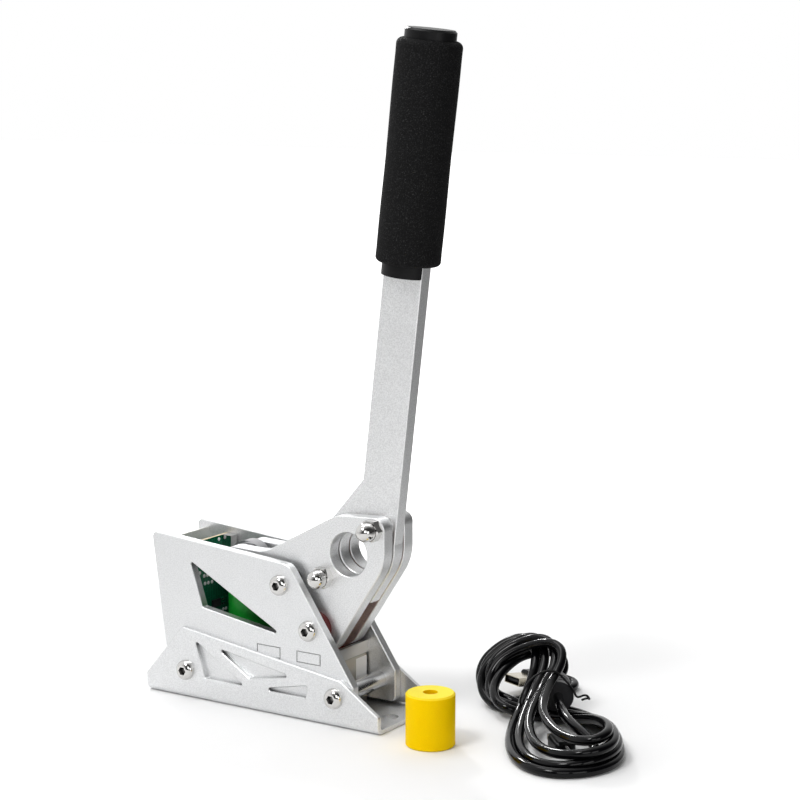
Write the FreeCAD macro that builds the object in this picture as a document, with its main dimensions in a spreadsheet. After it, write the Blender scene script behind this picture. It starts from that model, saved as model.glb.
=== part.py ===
"""Load-cell handbrake for a racing simulator: a bent base, two side plates, a lever and its sensor.

X runs along the base towards the open end, Y across it, Z up. The origin is the middle of the
base's underside. The lever stands at rest and leans towards +X; it is pulled towards -X.
"""
import FreeCAD, Part
import math
import os
import re
import Sketcher

SIZES = {
    # clearances
    "fit": 0.05, "soft_gap": 0.1, "free_gap": 0.3,
    # bent base
    "base_length": 146.0, "sheet": 2.5, "bend_radius": 1.5, "flange_rear_low": 9.7,
    "flange_peak_back": 49.0, "flange_peak_z": 37.8, "flange_knee_x": 50.5, "flange_knee_z": 24.3,
    "flange_front_low": 9.2, "flange_corner": 1.5, "foot_corner": 4.0, "mount_hole": 8.4, "mount_inset": 8.5,
    "frame_screw_x": 46.7, "frame_screw_z": 15.0, "screw_hole": 6.4,
    "cut_floor": 12.4, "cut_corner": 0.8,
    # side plates
    "inner_width": 33.0, "plate": 5.0, "plate_bottom": 4.5, "plate_top_back": 70.1,
    "plate_top_rear": 85.7, "plate_top_x": 17.8, "plate_top_front": 78.6, "plate_front_x": 56.6,
    "plate_knee_z": 21.0, "rear_lean": 7.95, "plate_corner": 8.0, "small_corner": 3.0,
    "bevel": 0.4, "logo_width": 14.7, "logo_height": 6.0, "logo_line": 0.5, "logo_depth": 0.3,
    # rear panel
    "panel": 2.0, "panel_inset": 6.6, "panel_top": 81.6, "panel_gap": 1.5, "groove": 1.5,
    # joint places
    "pivot_x": 29.6, "pivot_z": 46.3, "stop_back": 17.6, "stop_up": 21.1, "travel": 8.0,
    "axle": 10.0, "stop_tube": 8.0, "sleeve": 1.0, "thread_bore": 6.1, "standoff": 9.0,
    "bush_wall": 1.5, "bush_rim": 1.0, "washer": 17.0,
    # lever plates and bar
    "cheek": 8.0, "shim": 1.2, "bar_thick": 8.0, "bar_width": 22.0, "lever_lean": 6.71,
    "neck_x": 61.6, "neck_z": 118.6, "bar_top": 217.0, "bar_floor": 60.5, "bar_back": 24.5,
    "cheek_front": 69.5, "cheek_top": 106.6, "cheek_knee_z": 81.8, "foot_radius": 13.6,
    "bolt_high_x": 63.3, "bolt_high_z": 100.4, "bolt_low_x": 34.0, "bolt_low_z": 73.1,
    "light_hole": 22.2, "lobe_radius": 10.0, "front_slope": 56.6, "saddle_x": 18.1, "saddle_z": 9.1,
    "hip_back": 20.4, "hip_drop": 1.4, "saddle_radius": 20.0, "hip_radius": 25.0, "cheek_corner": 6.2,
    "knee_radius": 26.0, "tail_back": 12.5, "tail_radius": 8.0,
    # fasteners
    "flange_bolt": 20.0, "plate_bolt": 16.0, "cheek_bolt": 34.0, "bolt": 6.0, "bolt_head": 10.5,
    "head_rim": 0.7, "head_height": 3.3, "head_flat": 5.8, "head_dome": 8.7, "dome_height": 2.45,
    "hex_key": 4.0, "hex_depth": 2.2, "nut_width": 10.0, "nut_hex": 5.0, "nut_neck": 7.25,
    "nut_dome": 4.75, "nut_depth": 8.0,
    # roller and plunger
    "roller_back": 51.1, "roller_up": 25.5, "roller": 22.0, "roller_bore": 8.0,
    "roller_width": 7.0, "race": 2.0, "clip": 0.9, "plunger": 24.0, "plunger_disc": 2.4,
    "stem": 6.0, "stem_length": 36.0,
    # sensor
    "cell_front": 40.0, "cell_length": 76.0, "cell_side_gap": 1.3, "cell_height": 22.0,
    "cell_floor": 6.7, "cell_eye": 13.0, "cell_eyes_apart": 12.0, "cell_slot": 7.0, "eyes_back": 37.0,
    "cell_clamp": 24.0, "cell_thread": 4.0, "cell_screw": 14.0, "rest_thread": 3.0, "rest_screw": 8.0,
    "seat": 1.2, "elastomer": 24.2, "elastomer_bore": 7.2, "rim_bevel": 0.8,
    "spare_height": 26.4, "spare_x": 100.9, "spare_y": 20.2,
    "rest_leg": 2.0, "rest_wall": 2.4, "rest_height": 6.1, "pad": 16.0,
    # electronics
    "board_x": 48.8, "board": 1.6, "board_width": 32.0, "board_floor": 24.0,
    "board_height": 56.0, "board_post": 6.0, "post_length": 14.0, "post_inset": 4.0, "post_low": 5.0,
    "post_high": 9.0, "post_bore": 4.0, "board_thread": 2.9, "board_head": 5.2,
    "usb_z": 62.0, "usb_length": 9.0, "usb_width": 7.8, "usb_height": 4.0, "usb_wall": 0.5,
    "wire": 3.0,
    "plug_depth": 6.0, "plug_width": 5.5, "plug_height": 6.0,
    # lead, tied into a lying and a standing lobe beside the base
    "hank": 100.0, "hank_x": 125.0, "hank_y": 45.0, "hank_turn": 33.0, "lying_depth": 8.0,
    "standing_height": 37.0, "standing_slope": 19.0, "eye_floor": 6.0, "lead_bore": 4.6,
    "ferrite": 15.5, "ferrite_length": 20.0, "ferrite_z": 12.0, "ferrite_rib": 1.4,
    "large_shell": 12.0, "large_wide": 12.0, "large_high": 4.5, "large_grip": 14.0,
    "large_grip_wide": 15.0, "large_grip_high": 8.0, "large_turn": 36.0, "large_dip": 7.0,
    "small_shell": 7.0, "small_wide": 6.8, "small_high": 3.0, "small_grip": 14.0,
    "small_grip_wide": 10.0, "small_grip_high": 7.0, "small_turn": -78.0, "small_dip": 0.0,
    "shell_wall": 0.4,
    # grip
    "core": 25.0, "core_length": 111.1, "core_above": 1.0, "cap": 7.0, "foam": 32.0,
    "foam_below": 5.9, "foam_above": 2.3, "foam_gap": 0.1, "post": 4.0, "post_head": 7.0, "stud": 5.0,
    "stud_length": 12.0, "stud_depth": 14.0,
}

FORMULAS = {
    "core_end": "bar_top + core_above",
    "core_start": "core_end - core_length",
    "foam_start": "core_start + foam_below",
    "foam_end": "core_end + foam_above",
    "cell_width": "inner_width - 2 * cell_side_gap",
    "mount_spacing": "base_length - 2 * mount_inset",
    "panel_foot_x": "panel_top_x + panel_top * tan(rear_lean)",
    "panel_face_x": "panel_foot_x + panel / 2 / cos(rear_lean)",
    "panel_start": "plate_bottom + panel_gap",
    "plate_inside": "inner_width / 2",
    "plate_outside": "inner_width / 2 + plate",
    "flange_outside": "inner_width / 2 + plate + sheet",
    "half_length": "base_length / 2",
    "cheek_inside": "bar_thick / 2 + shim",
    "cheek_outside": "bar_thick / 2 + shim + cheek",
    "plate_foot_x": "-plate_top_back + (plate_top_rear - plate_bottom) * tan(rear_lean)",
    "panel_top_x": "-plate_top_back + (plate_top_rear - panel_top) * tan(rear_lean) + panel_inset",
    "stop_x": "pivot_x - stop_back",
    "stop_z": "pivot_z + stop_up",
    "roller_x": "pivot_x - roller_back",
    "roller_z": "pivot_z + roller_up",
    "cell_top": "cell_floor + cell_height",
    "cell_rear": "cell_front - cell_length",
    "press_z": "roller_z - roller / 2 - free_gap",
    "rib": "2 * free_gap + 1.4",
    "elastomer_foot": "cell_top + seat",
    "elastomer_top": "press_z - rib - plunger_disc",
    "board_back": "-board_x - board",
    "thrust": "plate_inside - cheek_outside",
    "wire_x": "-board_x + plug_depth - wire / 2 - 0.7",
    "wire_y": "board_width / 2 - plug_width / 2",
}

doc = FreeCAD.newDocument("handbrake")
sheet = doc.addObject("Spreadsheet::Sheet", "Sizes")
for row, (alias, value) in enumerate(SIZES.items(), 1):
    sheet.set("A%d" % row, alias)
    sheet.set("B%d" % row, str(value))
    sheet.setAlias("B%d" % row, alias)
doc.recompute()

NODES = []


def expand(text):
    """Turn a formula of plain words into one that reads the sheet."""
    def swap(match):
        word = match.group()
        if word in FORMULAS:
            return "(" + expand(FORMULAS[word]) + ")"
        return "Sizes." + word if word in SIZES else word
    return re.sub(r"[a-z_][a-z_0-9]*", swap, str(text))


def num(text):
    """The value of a formula."""
    return float(sheet.evalExpression(expand(text)))


def bind(item, **formulas):
    """Bind properties of a document object to formulas; x, y, z place it."""
    for name, text in formulas.items():
        path = "Placement.Base." + name if name in ("x", "y", "z") else name
        item.setExpression(path, expand(text))
    return item


def node(item, label):
    """Mark a finished object as a sub-part of the handbrake."""
    item.Label = label
    NODES.append(item)
    return item


def body(label, is_node=True):
    item = doc.addObject("PartDesign::Body", label + "_body")
    return node(item, label) if is_node else item


def sketch(owner, role, offset="0"):
    """A sketch on one of the body's own planes; on XZ its normal is -Y, so offset is towards -Y."""
    item = owner.newObject("Sketcher::SketchObject", owner.Name + "_sketch")
    plane = next(f for f in owner.Origin.OriginFeatures if f.Role == role)
    item.AttachmentSupport = (plane, [""])
    item.MapMode = "FlatFace"
    item.setExpression("AttachmentOffset.Base.z", expand(offset))
    return item


def pin_point(item, geometry, place, point):
    """Hold a sketch point at two formulas, measured from the sketch's origin."""
    for kind, text in zip(("DistanceX", "DistanceY"), point):
        index = item.addConstraint(Sketcher.Constraint(kind, -1, 1, geometry, place, num(text)))
        item.setExpression("Constraints[%d]" % index, expand(text))


def polygon(item, points):
    """A closed outline whose corners are pairs of formulas."""
    start = item.GeometryCount
    corners = [FreeCAD.Vector(num(a), num(b), 0) for a, b in points]
    count = len(corners)
    for i in range(count):
        item.addGeometry(Part.LineSegment(corners[i], corners[(i + 1) % count]), False)
    for i in range(count):
        after = start + (i + 1) % count
        item.addConstraint(Sketcher.Constraint("Coincident", start + i, 2, after, 1))
        pin_point(item, start + i, 1, points[i])


def circle(item, centre, radius):
    """A round outline with its centre and radius as formulas."""
    middle = FreeCAD.Vector(num(centre[0]), num(centre[1]), 0)
    index = item.addGeometry(Part.Circle(middle, FreeCAD.Vector(0, 0, 1), num(radius)), False)
    pin_point(item, index, 3, centre)
    bound = item.addConstraint(Sketcher.Constraint("Radius", index, num(radius)))
    item.setExpression("Constraints[%d]" % bound, expand(radius))


def pad(owner, item, length, centred=False, reverse=False):
    feature = owner.newObject("PartDesign::Pad", owner.Name + "_pad")
    feature.Profile = item
    feature.setExpression("Length", expand(length))
    feature.SideType = "Symmetric" if centred else "One side"
    feature.Reversed = reverse
    doc.recompute()


def pocket(owner, item, length, centred=False, reverse=False):
    """Cut the sketch out of the body, and check that it took material away."""
    before = owner.Shape.Volume
    feature = owner.newObject("PartDesign::Pocket", owner.Name + "_pocket")
    feature.Profile = item
    feature.setExpression("Length", expand(length))
    feature.SideType = "Symmetric" if centred else "One side"
    feature.Reversed = reverse
    doc.recompute()
    if not owner.Shape.Volume < before:
        raise ValueError("pocket cuts nothing in " + owner.Label)


def revolve(owner, points):
    """Turn an outline of (radius, height) corners about the Z axis."""
    item = sketch(owner, "XZ_Plane")
    polygon(item, points)
    feature = owner.newObject("PartDesign::Revolution", owner.Name + "_revolution")
    feature.Profile = item
    feature.ReferenceAxis = (item, ["V_Axis"])
    feature.Angle = 360
    doc.recompute()
    return feature


def edges_at(shape, first, second, along="y"):
    """Names of the straight edges that run along one axis at one corner of an outline."""
    one, two = [axis for axis in "xyz" if axis != along]
    names = []
    for index, edge in enumerate(shape.Edges, 1):
        ends = [vertex.Point for vertex in edge.Vertexes]
        if len(ends) == 2 and all(math.hypot(getattr(p, one) - first, getattr(p, two) - second) < 1e-4
                                  for p in ends):
            names.append("Edge%d" % index)
    return names


def round_corners(owner, corners, radius, along="y"):
    """Round the edges along one axis at corners given as pairs of formulas."""
    base = owner.Tip
    names = []
    for first, second in corners:
        names += edges_at(base.Shape, num(first), num(second), along)
    feature = owner.newObject("PartDesign::Fillet", owner.Name + "_fillet")
    feature.Base = (base, names)
    feature.setExpression("Radius", expand(radius))
    doc.recompute()


def bevel_faces(owner, levels, size="bevel", axis="y"):
    """Break the rims of the flat faces that lie square to an axis at the given places."""
    base = owner.Tip
    names = []
    for index, face in enumerate(base.Shape.Faces, 1):
        box = face.BoundBox
        low, high = getattr(box, axis.upper() + "Min"), getattr(box, axis.upper() + "Max")
        if high - low < 1e-6 and any(abs(low - num(level)) < 1e-4 for level in levels):
            names.append("Face%d" % index)
    feature = owner.newObject("PartDesign::Chamfer", owner.Name + "_chamfer")
    feature.Base = (base, names)
    feature.setExpression("Size", expand(size))
    doc.recompute()


def turned(axis, angle):
    return FreeCAD.Rotation(FreeCAD.Vector(*axis), angle)


ACROSS = turned((1, 0, 0), 90)
ACROSS_BACK = turned((1, 0, 0), -90)
ALONG = turned((0, 1, 0), 90)
UPRIGHT = turned((0, 0, 1), 0)
LEANING = turned((0, 1, 0), num("lever_lean"))


def cylinder(radius, height, x="0", y="0", z="0", rotation=UPRIGHT):
    item = doc.addObject("Part::Cylinder", "cylinder")
    item.Placement = FreeCAD.Placement(FreeCAD.Vector(), rotation)
    return bind(item, Radius=radius, Height=height, x=x, y=y, z=z)


def box(length, width, height, x, y, z, rotation=UPRIGHT):
    item = doc.addObject("Part::Box", "box")
    item.Placement = FreeCAD.Placement(FreeCAD.Vector(), rotation)
    return bind(item, Length=length, Width=width, Height=height, x=x, y=y, z=z)


def cut(base, *tools):
    for tool in tools:
        item = doc.addObject("Part::Cut", "cut")
        item.Base = base
        item.Tool = tool
        base = item
    return base


def join(*items):
    item = doc.addObject("Part::MultiFuse", "join")
    item.Shapes = list(items)
    item.Refine = True
    return item


def common(*items):
    item = doc.addObject("Part::MultiCommon", "common")
    item.Shapes = list(items)
    return item


def together(items):
    """Several separate solids that share one node."""
    item = doc.addObject("Part::Compound", "group")
    item.Links = list(items)
    return item


def tube(outer, inner, length, x, y, z, rotation=UPRIGHT):
    """A tube that starts at x, y, z and runs along the rotated Z axis."""
    return cut(cylinder(outer, length, x, y, z, rotation), cylinder(inner, length, x, y, z, rotation))


def cross_tube(outer, inner, half, x, z):
    """A tube across the handbrake, half to each side of its middle plane."""
    return tube(outer, inner, "2 * (%s)" % half, x, half, z, ACROSS)


def side_tube(outer, inner, near, length, x, z, side):
    """A tube or disc on one side, from near outwards along Y; side is -1 or 1."""
    rotation = ACROSS if side < 0 else ACROSS_BACK
    return tube(outer, inner, length, x, "%d * (%s)" % (side, near), z, rotation)


def copies(label, master, places):
    """Copies of one fastener at several placements, in one node."""
    item = node(doc.addObject("Part::Feature", label), label)
    shapes = []
    for place in places:
        shape = master.Shape.copy()
        shape.Placement = place.multiply(shape.Placement)
        shapes.append(shape)
    item.Shape = Part.makeCompound(shapes)
    return item


def spot(x, y, z, rotation):
    return FreeCAD.Placement(FreeCAD.Vector(num(x), num(y), num(z)), rotation)


def cone_seat(radius, x, y, z, upward=False):
    """The cone that a countersunk head sits in; z is the surface that the head is flush with."""
    cone = doc.addObject("Part::Cone", "cone")
    wide, slim = "2 * %s + fit" % radius, "%s + fit" % radius
    if upward:
        return bind(cone, Radius1=wide, Radius2=slim, Height=radius, x=x, y=y, z=z)
    return bind(cone, Radius1=slim, Radius2=wide, Height=radius, x=x, y=y, z="%s - %s" % (z, radius))


def base_channel():
    """One sheet bent into a wide U, its sides cut to a peak and pierced by triangles."""
    item = body("base_channel_blank", is_node=False)
    profile = sketch(item, "YZ_Plane")
    polygon(profile, [
        ("-flange_outside", "0"), ("flange_outside", "0"), ("flange_outside", "flange_peak_z + 1"),
        ("plate_outside", "flange_peak_z + 1"), ("plate_outside", "sheet"),
        ("-plate_outside", "sheet"), ("-plate_outside", "flange_peak_z + 1"),
        ("-flange_outside", "flange_peak_z + 1")])
    pad(item, profile, "base_length", centred=True)
    round_corners(item, [("flange_outside", "0"), ("-flange_outside", "0")], "bend_radius + sheet", "x")
    round_corners(item, [("plate_outside", "sheet"), ("-plate_outside", "sheet")], "bend_radius", "x")
    outline = sketch(item, "XZ_Plane")
    polygon(outline, [
        ("-half_length", "flange_rear_low"), ("-flange_peak_back", "flange_peak_z"),
        ("flange_knee_x", "flange_knee_z"), ("half_length", "flange_front_low"),
        ("half_length + 5", "flange_front_low"), ("half_length + 5", "flange_peak_z + 5"),
        ("-half_length - 5", "flange_peak_z + 5"), ("-half_length - 5", "flange_rear_low")])
    pocket(item, outline, "2 * flange_outside + 2", centred=True)
    round_corners(item, [("-half_length", "flange_rear_low"),
                         ("-flange_peak_back", "flange_peak_z"),
                         ("flange_knee_x", "flange_knee_z"),
                         ("half_length", "flange_front_low")], "flange_corner")
    cuts = sketch(item, "XZ_Plane")
    rear_cut = [("-frame_screw_x + 6.1", "cut_floor + 19.3"), ("-frame_screw_x + 12.5", "cut_floor"),
                ("-frame_screw_x + 38.2", "cut_floor")]
    middle_cut = [("-frame_screw_x + 20.3", "cut_floor + 17.4"), ("-frame_screw_x + 41", "cut_floor + 4.4"),
                  ("frame_screw_x - 25.4", "cut_floor + 9.5")]
    front_cut = [("-frame_screw_x + 46.3", "cut_floor"), ("frame_screw_x - 17.3", "cut_floor"),
                 ("frame_screw_x - 16.2", "cut_floor + 6.4")]
    for corners in (rear_cut, middle_cut, front_cut):
        polygon(cuts, corners)
    pocket(item, cuts, "2 * flange_outside + 2", centred=True)
    round_corners(item, rear_cut + middle_cut + front_cut, "cut_corner")
    holes = sketch(item, "XZ_Plane")
    for side in ("", "-"):
        circle(holes, (side + "frame_screw_x", "frame_screw_z"), "screw_hole / 2")
    pocket(item, holes, "2 * flange_outside + 2", centred=True)
    floor_holes = sketch(item, "XY_Plane", "sheet")
    for side in ("", "-"):
        circle(floor_holes, (side + "mount_spacing / 2", "0"), "mount_hole / 2")
    for x in CELL_SCREW_X:
        for y in CELL_SCREW_Y:
            circle(floor_holes, (x, y), "cell_thread / 2 + soft_gap")
    pocket(item, floor_holes, "sheet + 1")
    bevel_faces(item, ["flange_outside", "-flange_outside"])
    seats = [cone_seat("cell_thread / 2", x, y, "0", upward=True) for x in CELL_SCREW_X for y in CELL_SCREW_Y]
    corners = []
    for side in (-1, 1):
        square = box("foot_corner", "2 * sheet", "foot_corner", "-half_length", FLANGE_START[side], "0")
        rounding = cylinder("foot_corner", "6 * sheet", "-half_length + foot_corner", "%s + 5 * sheet" %
                            FLANGE_START[side], "foot_corner", ACROSS)
        corners.append(cut(square, rounding))
    node(cut(item, *(seats + corners)), "base_channel")


FLANGE_START = {-1: "-flange_outside - sheet", 1: "plate_outside"}

CELL_SCREW_X = ("cell_front - cell_clamp / 4", "cell_front - cell_clamp * 3 / 4")
CELL_SCREW_Y = ("cell_width * 0.3", "-cell_width * 0.3")

WINDOW = [("-plate_top_back + 25.1", "plate_top_rear - 12.9"),
          ("-plate_top_back + 32.9", "plate_top_rear - 36.5"),
          ("pivot_x - 16.3", "pivot_z - 4.7")]


def side_plate(label, side):
    """A thick plate with a triangular window, two blank engraved frames and the panel's groove."""
    item = body(label)
    inner = "-plate_inside" if side > 0 else "plate_inside"
    outline = sketch(item, "XZ_Plane", inner)
    corners = [("-plate_top_back", "plate_top_rear"), ("plate_top_x", "plate_top_front"),
               ("plate_front_x", "plate_knee_z"), ("plate_front_x", "plate_bottom"),
               ("plate_foot_x", "plate_bottom")]
    polygon(outline, corners)
    pad(item, outline, "plate", reverse=side > 0)
    round_corners(item, corners[1:2], "plate_corner")
    round_corners(item, [corners[0], corners[3], corners[4]], "small_corner")
    through = "2 * plate_outside + 2"
    opening = sketch(item, "XZ_Plane")
    polygon(opening, WINDOW)
    pocket(item, opening, through, centred=True)
    round_corners(item, WINDOW, "cut_corner")
    holes = sketch(item, "XZ_Plane")
    for place in (("frame_screw_x", "frame_screw_z"), ("-frame_screw_x", "frame_screw_z"),
                  ("pivot_x", "pivot_z"), ("stop_x", "stop_z")):
        circle(holes, place, "screw_hole / 2")
    pocket(item, holes, through, centred=True)
    bevel_faces(item, ["plate_inside * %d" % side, "plate_outside * %d" % side])
    groove = sketch(item, "XZ_Plane", inner)
    wide = "(panel / 2 + fit) / cos(rear_lean)"
    slope = "(panel_top - plate_bottom) * tan(rear_lean)"
    polygon(groove, [("panel_top_x - %s" % wide, "panel_top"), ("panel_top_x + %s" % wide, "panel_top"),
                     ("panel_top_x + %s + %s" % (slope, wide), "plate_bottom"),
                     ("panel_top_x + %s - %s" % (slope, wide), "plate_bottom")])
    pocket(item, groove, "groove", reverse=side < 0)
    frames = sketch(item, "XZ_Plane", "-plate_outside" if side > 0 else "plate_outside")
    for left in ("pivot_x - 31.9", "pivot_x - 7.2"):
        for shrink in ("0", "logo_line"):
            low, high = "flange_knee_z + 5.1 + " + shrink, "flange_knee_z + 5.1 + logo_height - " + shrink
            near, far = left + " + " + shrink, left + " + logo_width - " + shrink
            polygon(frames, [(near, low), (far, low), (far, high), (near, high)])
    pocket(item, frames, "logo_depth", reverse=side > 0)


def rear_panel():
    """The slanted sheet that closes the rear, held in the side plates' grooves."""
    slab = box("panel", "inner_width + 2 * groove - 2 * fit", "(panel_top - panel_start) / cos(rear_lean)",
               "panel_foot_x - panel_start * tan(rear_lean) - panel / 2 * cos(rear_lean)",
               "-inner_width / 2 - groove + fit", "panel_start - panel / 2 * sin(rear_lean)",
               turned((0, 1, 0), -num("rear_lean")))
    port = box("24", "usb_width + 3.2", "usb_height + 3.2", "panel_top_x - 12",
               "-usb_width / 2 - 1.6", "usb_z - usb_height / 2 - 1.6")
    node(cut(slab, port), "rear_panel")


def cross_tubes():
    """Spacers and axles between the side plates, threaded at both ends."""
    for label, x in (("front_standoff", "frame_screw_x"), ("rear_standoff", "-frame_screw_x")):
        node(cross_tube("standoff / 2", "thread_bore / 2", "plate_inside", x, "frame_screw_z"), label)
    node(cross_tube("axle / 2", "thread_bore / 2", "plate_inside", "pivot_x", "pivot_z"), "pivot_tube")
    node(cross_tube("stop_tube / 2", "thread_bore / 2", "plate_inside", "stop_x", "stop_z"), "stop_tube")
    node(together([side_tube("stop_tube / 2 + sleeve", "stop_tube / 2", "cheek_inside", "cheek",
                             "stop_x", "stop_z", side) for side in (-1, 1)]), "stop_sleeves")
    node(together([side_tube("washer / 2", "axle / 2 + fit", "cheek_outside + fit", "thrust - 2 * fit",
                             "pivot_x", "pivot_z", side) for side in (-1, 1)]), "thrust_washers")


def button_screw(length):
    """A domed screw with a hex socket; its head stands on Z = 0."""
    item = body("button_screw", is_node=False)
    profile = sketch(item, "XZ_Plane")
    shank, rim, flat, top = num("bolt / 2"), num("bolt_head / 2"), num("head_flat / 2"), num("head_height")
    points = [(0, -num(length)), (shank, -num(length)), (shank, 0), (rim, 0), (rim, num("head_rim")),
              (flat, top), (0, top)]
    for start, end in zip(points, points[1:] + points[:1]):
        first, last = FreeCAD.Vector(*start, 0), FreeCAD.Vector(*end, 0)
        if start == (rim, num("head_rim")):
            middle = FreeCAD.Vector(num("head_dome / 2"), num("dome_height"), 0)
            profile.addGeometry(Part.Arc(first, middle, last), False)
        else:
            profile.addGeometry(Part.LineSegment(first, last), False)
    feature = item.newObject("PartDesign::Revolution", "turned_head")
    feature.Profile = profile
    feature.ReferenceAxis = (profile, ["V_Axis"])
    feature.Angle = 360
    doc.recompute()
    socket = sketch(item, "XY_Plane", "head_height")
    corner = num("hex_key / 2") / math.cos(math.radians(30))
    polygon(socket, [(corner * math.cos(math.radians(a)), corner * math.sin(math.radians(a)))
                     for a in range(0, 360, 60)])
    pocket(item, socket, "hex_depth")
    return item


def frame_fasteners():
    """Button screws: four through flange and plate, four through the plates alone."""
    long_screw, short_screw = button_screw("flange_bolt"), button_screw("plate_bolt")
    flange_places, plate_places = [], []
    for side, rotation in ((-1, ACROSS), (1, ACROSS_BACK)):
        for x in ("frame_screw_x", "-frame_screw_x"):
            flange_places.append(spot(x, "%d * flange_outside" % side, "frame_screw_z", rotation))
        for x, z in (("pivot_x", "pivot_z"), ("stop_x", "stop_z")):
            plate_places.append(spot(x, "%d * plate_outside" % side, z, rotation))
    copies("flange_screws", long_screw, flange_places)
    copies("plate_screws", short_screw, plate_places)


def countersunk_screw(radius, length):
    """A flat-headed screw; the top of its head is Z = 0."""
    item = body("countersunk_screw", is_node=False)
    revolve(item, [("0", "-" + length), (radius, "-" + length), (radius, "-" + radius),
                   ("2 * " + radius, "0"), ("0", "0")])
    return item


def load_cell():
    """A bending beam with two joined eyes, clamped at its front end over a spacer."""
    item = body("load_cell")
    outline = sketch(item, "XZ_Plane")
    polygon(outline, [("cell_rear", "cell_floor"), ("cell_front", "cell_floor"),
                      ("cell_front", "cell_top"), ("cell_rear", "cell_top")])
    pad(item, outline, "cell_width", centred=True)
    middle = "cell_floor + cell_height / 2"
    for side in ("", "-"):
        eye = sketch(item, "XZ_Plane")
        circle(eye, ("cell_front - eyes_back %s cell_eyes_apart / 2" % (side or "+"), middle), "cell_eye / 2")
        pocket(item, eye, "cell_width + 2", centred=True)
    slit = sketch(item, "XZ_Plane")
    polygon(slit, [("cell_front - eyes_back %s cell_eyes_apart / 2" % end,
                    middle + " %s cell_slot / 2" % level)
                   for end, level in (("-", "-"), ("+", "-"), ("+", "+"), ("-", "+"))])
    pocket(item, slit, "cell_width + 2", centred=True)
    bores = sketch(item, "XY_Plane", "cell_top")
    circle(bores, ("roller_x", "0"), "stem / 2 + fit")
    for y in REST_SCREW_Y:
        circle(bores, (REST_SCREW_X, y), "rest_thread / 2 + fit")
    pocket(item, bores, "cell_height + 1")
    threads = sketch(item, "XY_Plane", "cell_floor")
    for x in CELL_SCREW_X:
        for y in CELL_SCREW_Y:
            circle(threads, (x, y), "cell_thread / 2 + fit")
    pocket(item, threads, "cell_screw - cell_floor + 1", reverse=True)
    bevel_faces(item, ["cell_front"], axis="x")
    spacer = box("cell_clamp", "cell_width", "cell_floor - sheet", "cell_front - cell_clamp",
                 "-cell_width / 2", "sheet")
    drills = [cylinder("cell_thread / 2 + soft_gap", "cell_floor", x, y, "0")
              for x in CELL_SCREW_X for y in CELL_SCREW_Y]
    node(cut(spacer, *drills), "cell_spacer")
    screw = countersunk_screw("cell_thread / 2", "cell_screw")
    under = turned((1, 0, 0), 180)
    copies("cell_screws", screw, [spot(x, y, "0", under) for x in CELL_SCREW_X for y in CELL_SCREW_Y])
    label = box("0.2", "9.4", "15", "cell_front", "cell_width / 2 - 9.6", "cell_top - 16.5")
    node(label, "cell_label")


REST_SCREW_X = "cell_front - cell_clamp + 3.5"
REST_SCREW_Y = ("cell_width / 3", "-cell_width / 3")


def rest_bar():
    """The angle on the sensor's fixed end, and the soft pad under the lever's feet."""
    leg = box("cell_clamp", "inner_width - 4 * fit", "rest_leg", "cell_front - cell_clamp",
              "-inner_width / 2 + 2 * fit", "cell_top")
    wall = box("rest_wall", "inner_width - 4 * fit", "rest_height", "cell_front - rest_wall",
               "-inner_width / 2 + 2 * fit", "cell_top")
    seats = [cone_seat("rest_thread / 2", REST_SCREW_X, y, "cell_top + rest_leg") for y in REST_SCREW_Y]
    drills = [cylinder("rest_thread / 2 + soft_gap", "rest_leg + 2", REST_SCREW_X, y, "cell_top - 1")
              for y in REST_SCREW_Y]
    node(cut(join(leg, wall), *(seats + drills)), "rest_bar")
    screw = countersunk_screw("rest_thread / 2", "rest_screw")
    copies("rest_bar_screws", screw,
           [spot(REST_SCREW_X, y, "cell_top + rest_leg", UPRIGHT) for y in REST_SCREW_Y])
    node(box("pad", "cell_width", "pivot_z - foot_radius - free_gap - cell_top - rest_leg",
             "cell_front - rest_wall - pad - soft_gap", "-cell_width / 2", "cell_top + rest_leg"),
         "rest_pad")


def press_column():
    """Seat, soft column and plunger between the roller and the sensor's free end."""
    node(tube("elastomer / 2 + 1", "stem / 2 + fit", "seat", "roller_x", "0", "cell_top"),
         "elastomer_seat")
    column = tube("elastomer / 2", "elastomer_bore / 2", "elastomer_top - elastomer_foot",
                  "roller_x", "0", "elastomer_foot")
    node(column, "elastomer")
    disc = cylinder("plunger / 2", "plunger_disc", "roller_x", "0", "elastomer_top")
    rib = box("plunger * 0.9", "roller_width", "rib", "roller_x - plunger * 0.45",
              "-roller_width / 2", "elastomer_top + plunger_disc")
    stem = cylinder("stem / 2", "stem_length", "roller_x", "0", "elastomer_top - stem_length")
    node(join(disc, rib, stem), "plunger")
    spare = body("spare_elastomer")
    revolve(spare, [("elastomer_bore / 2", "0"), ("elastomer / 2 - rim_bevel", "0"),
                    ("elastomer / 2", "rim_bevel"), ("elastomer / 2", "spare_height - rim_bevel"),
                    ("elastomer / 2 - rim_bevel", "spare_height"), ("elastomer_bore / 2", "spare_height")])
    bind(spare, x="spare_x", y="-spare_y", z="0")


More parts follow.
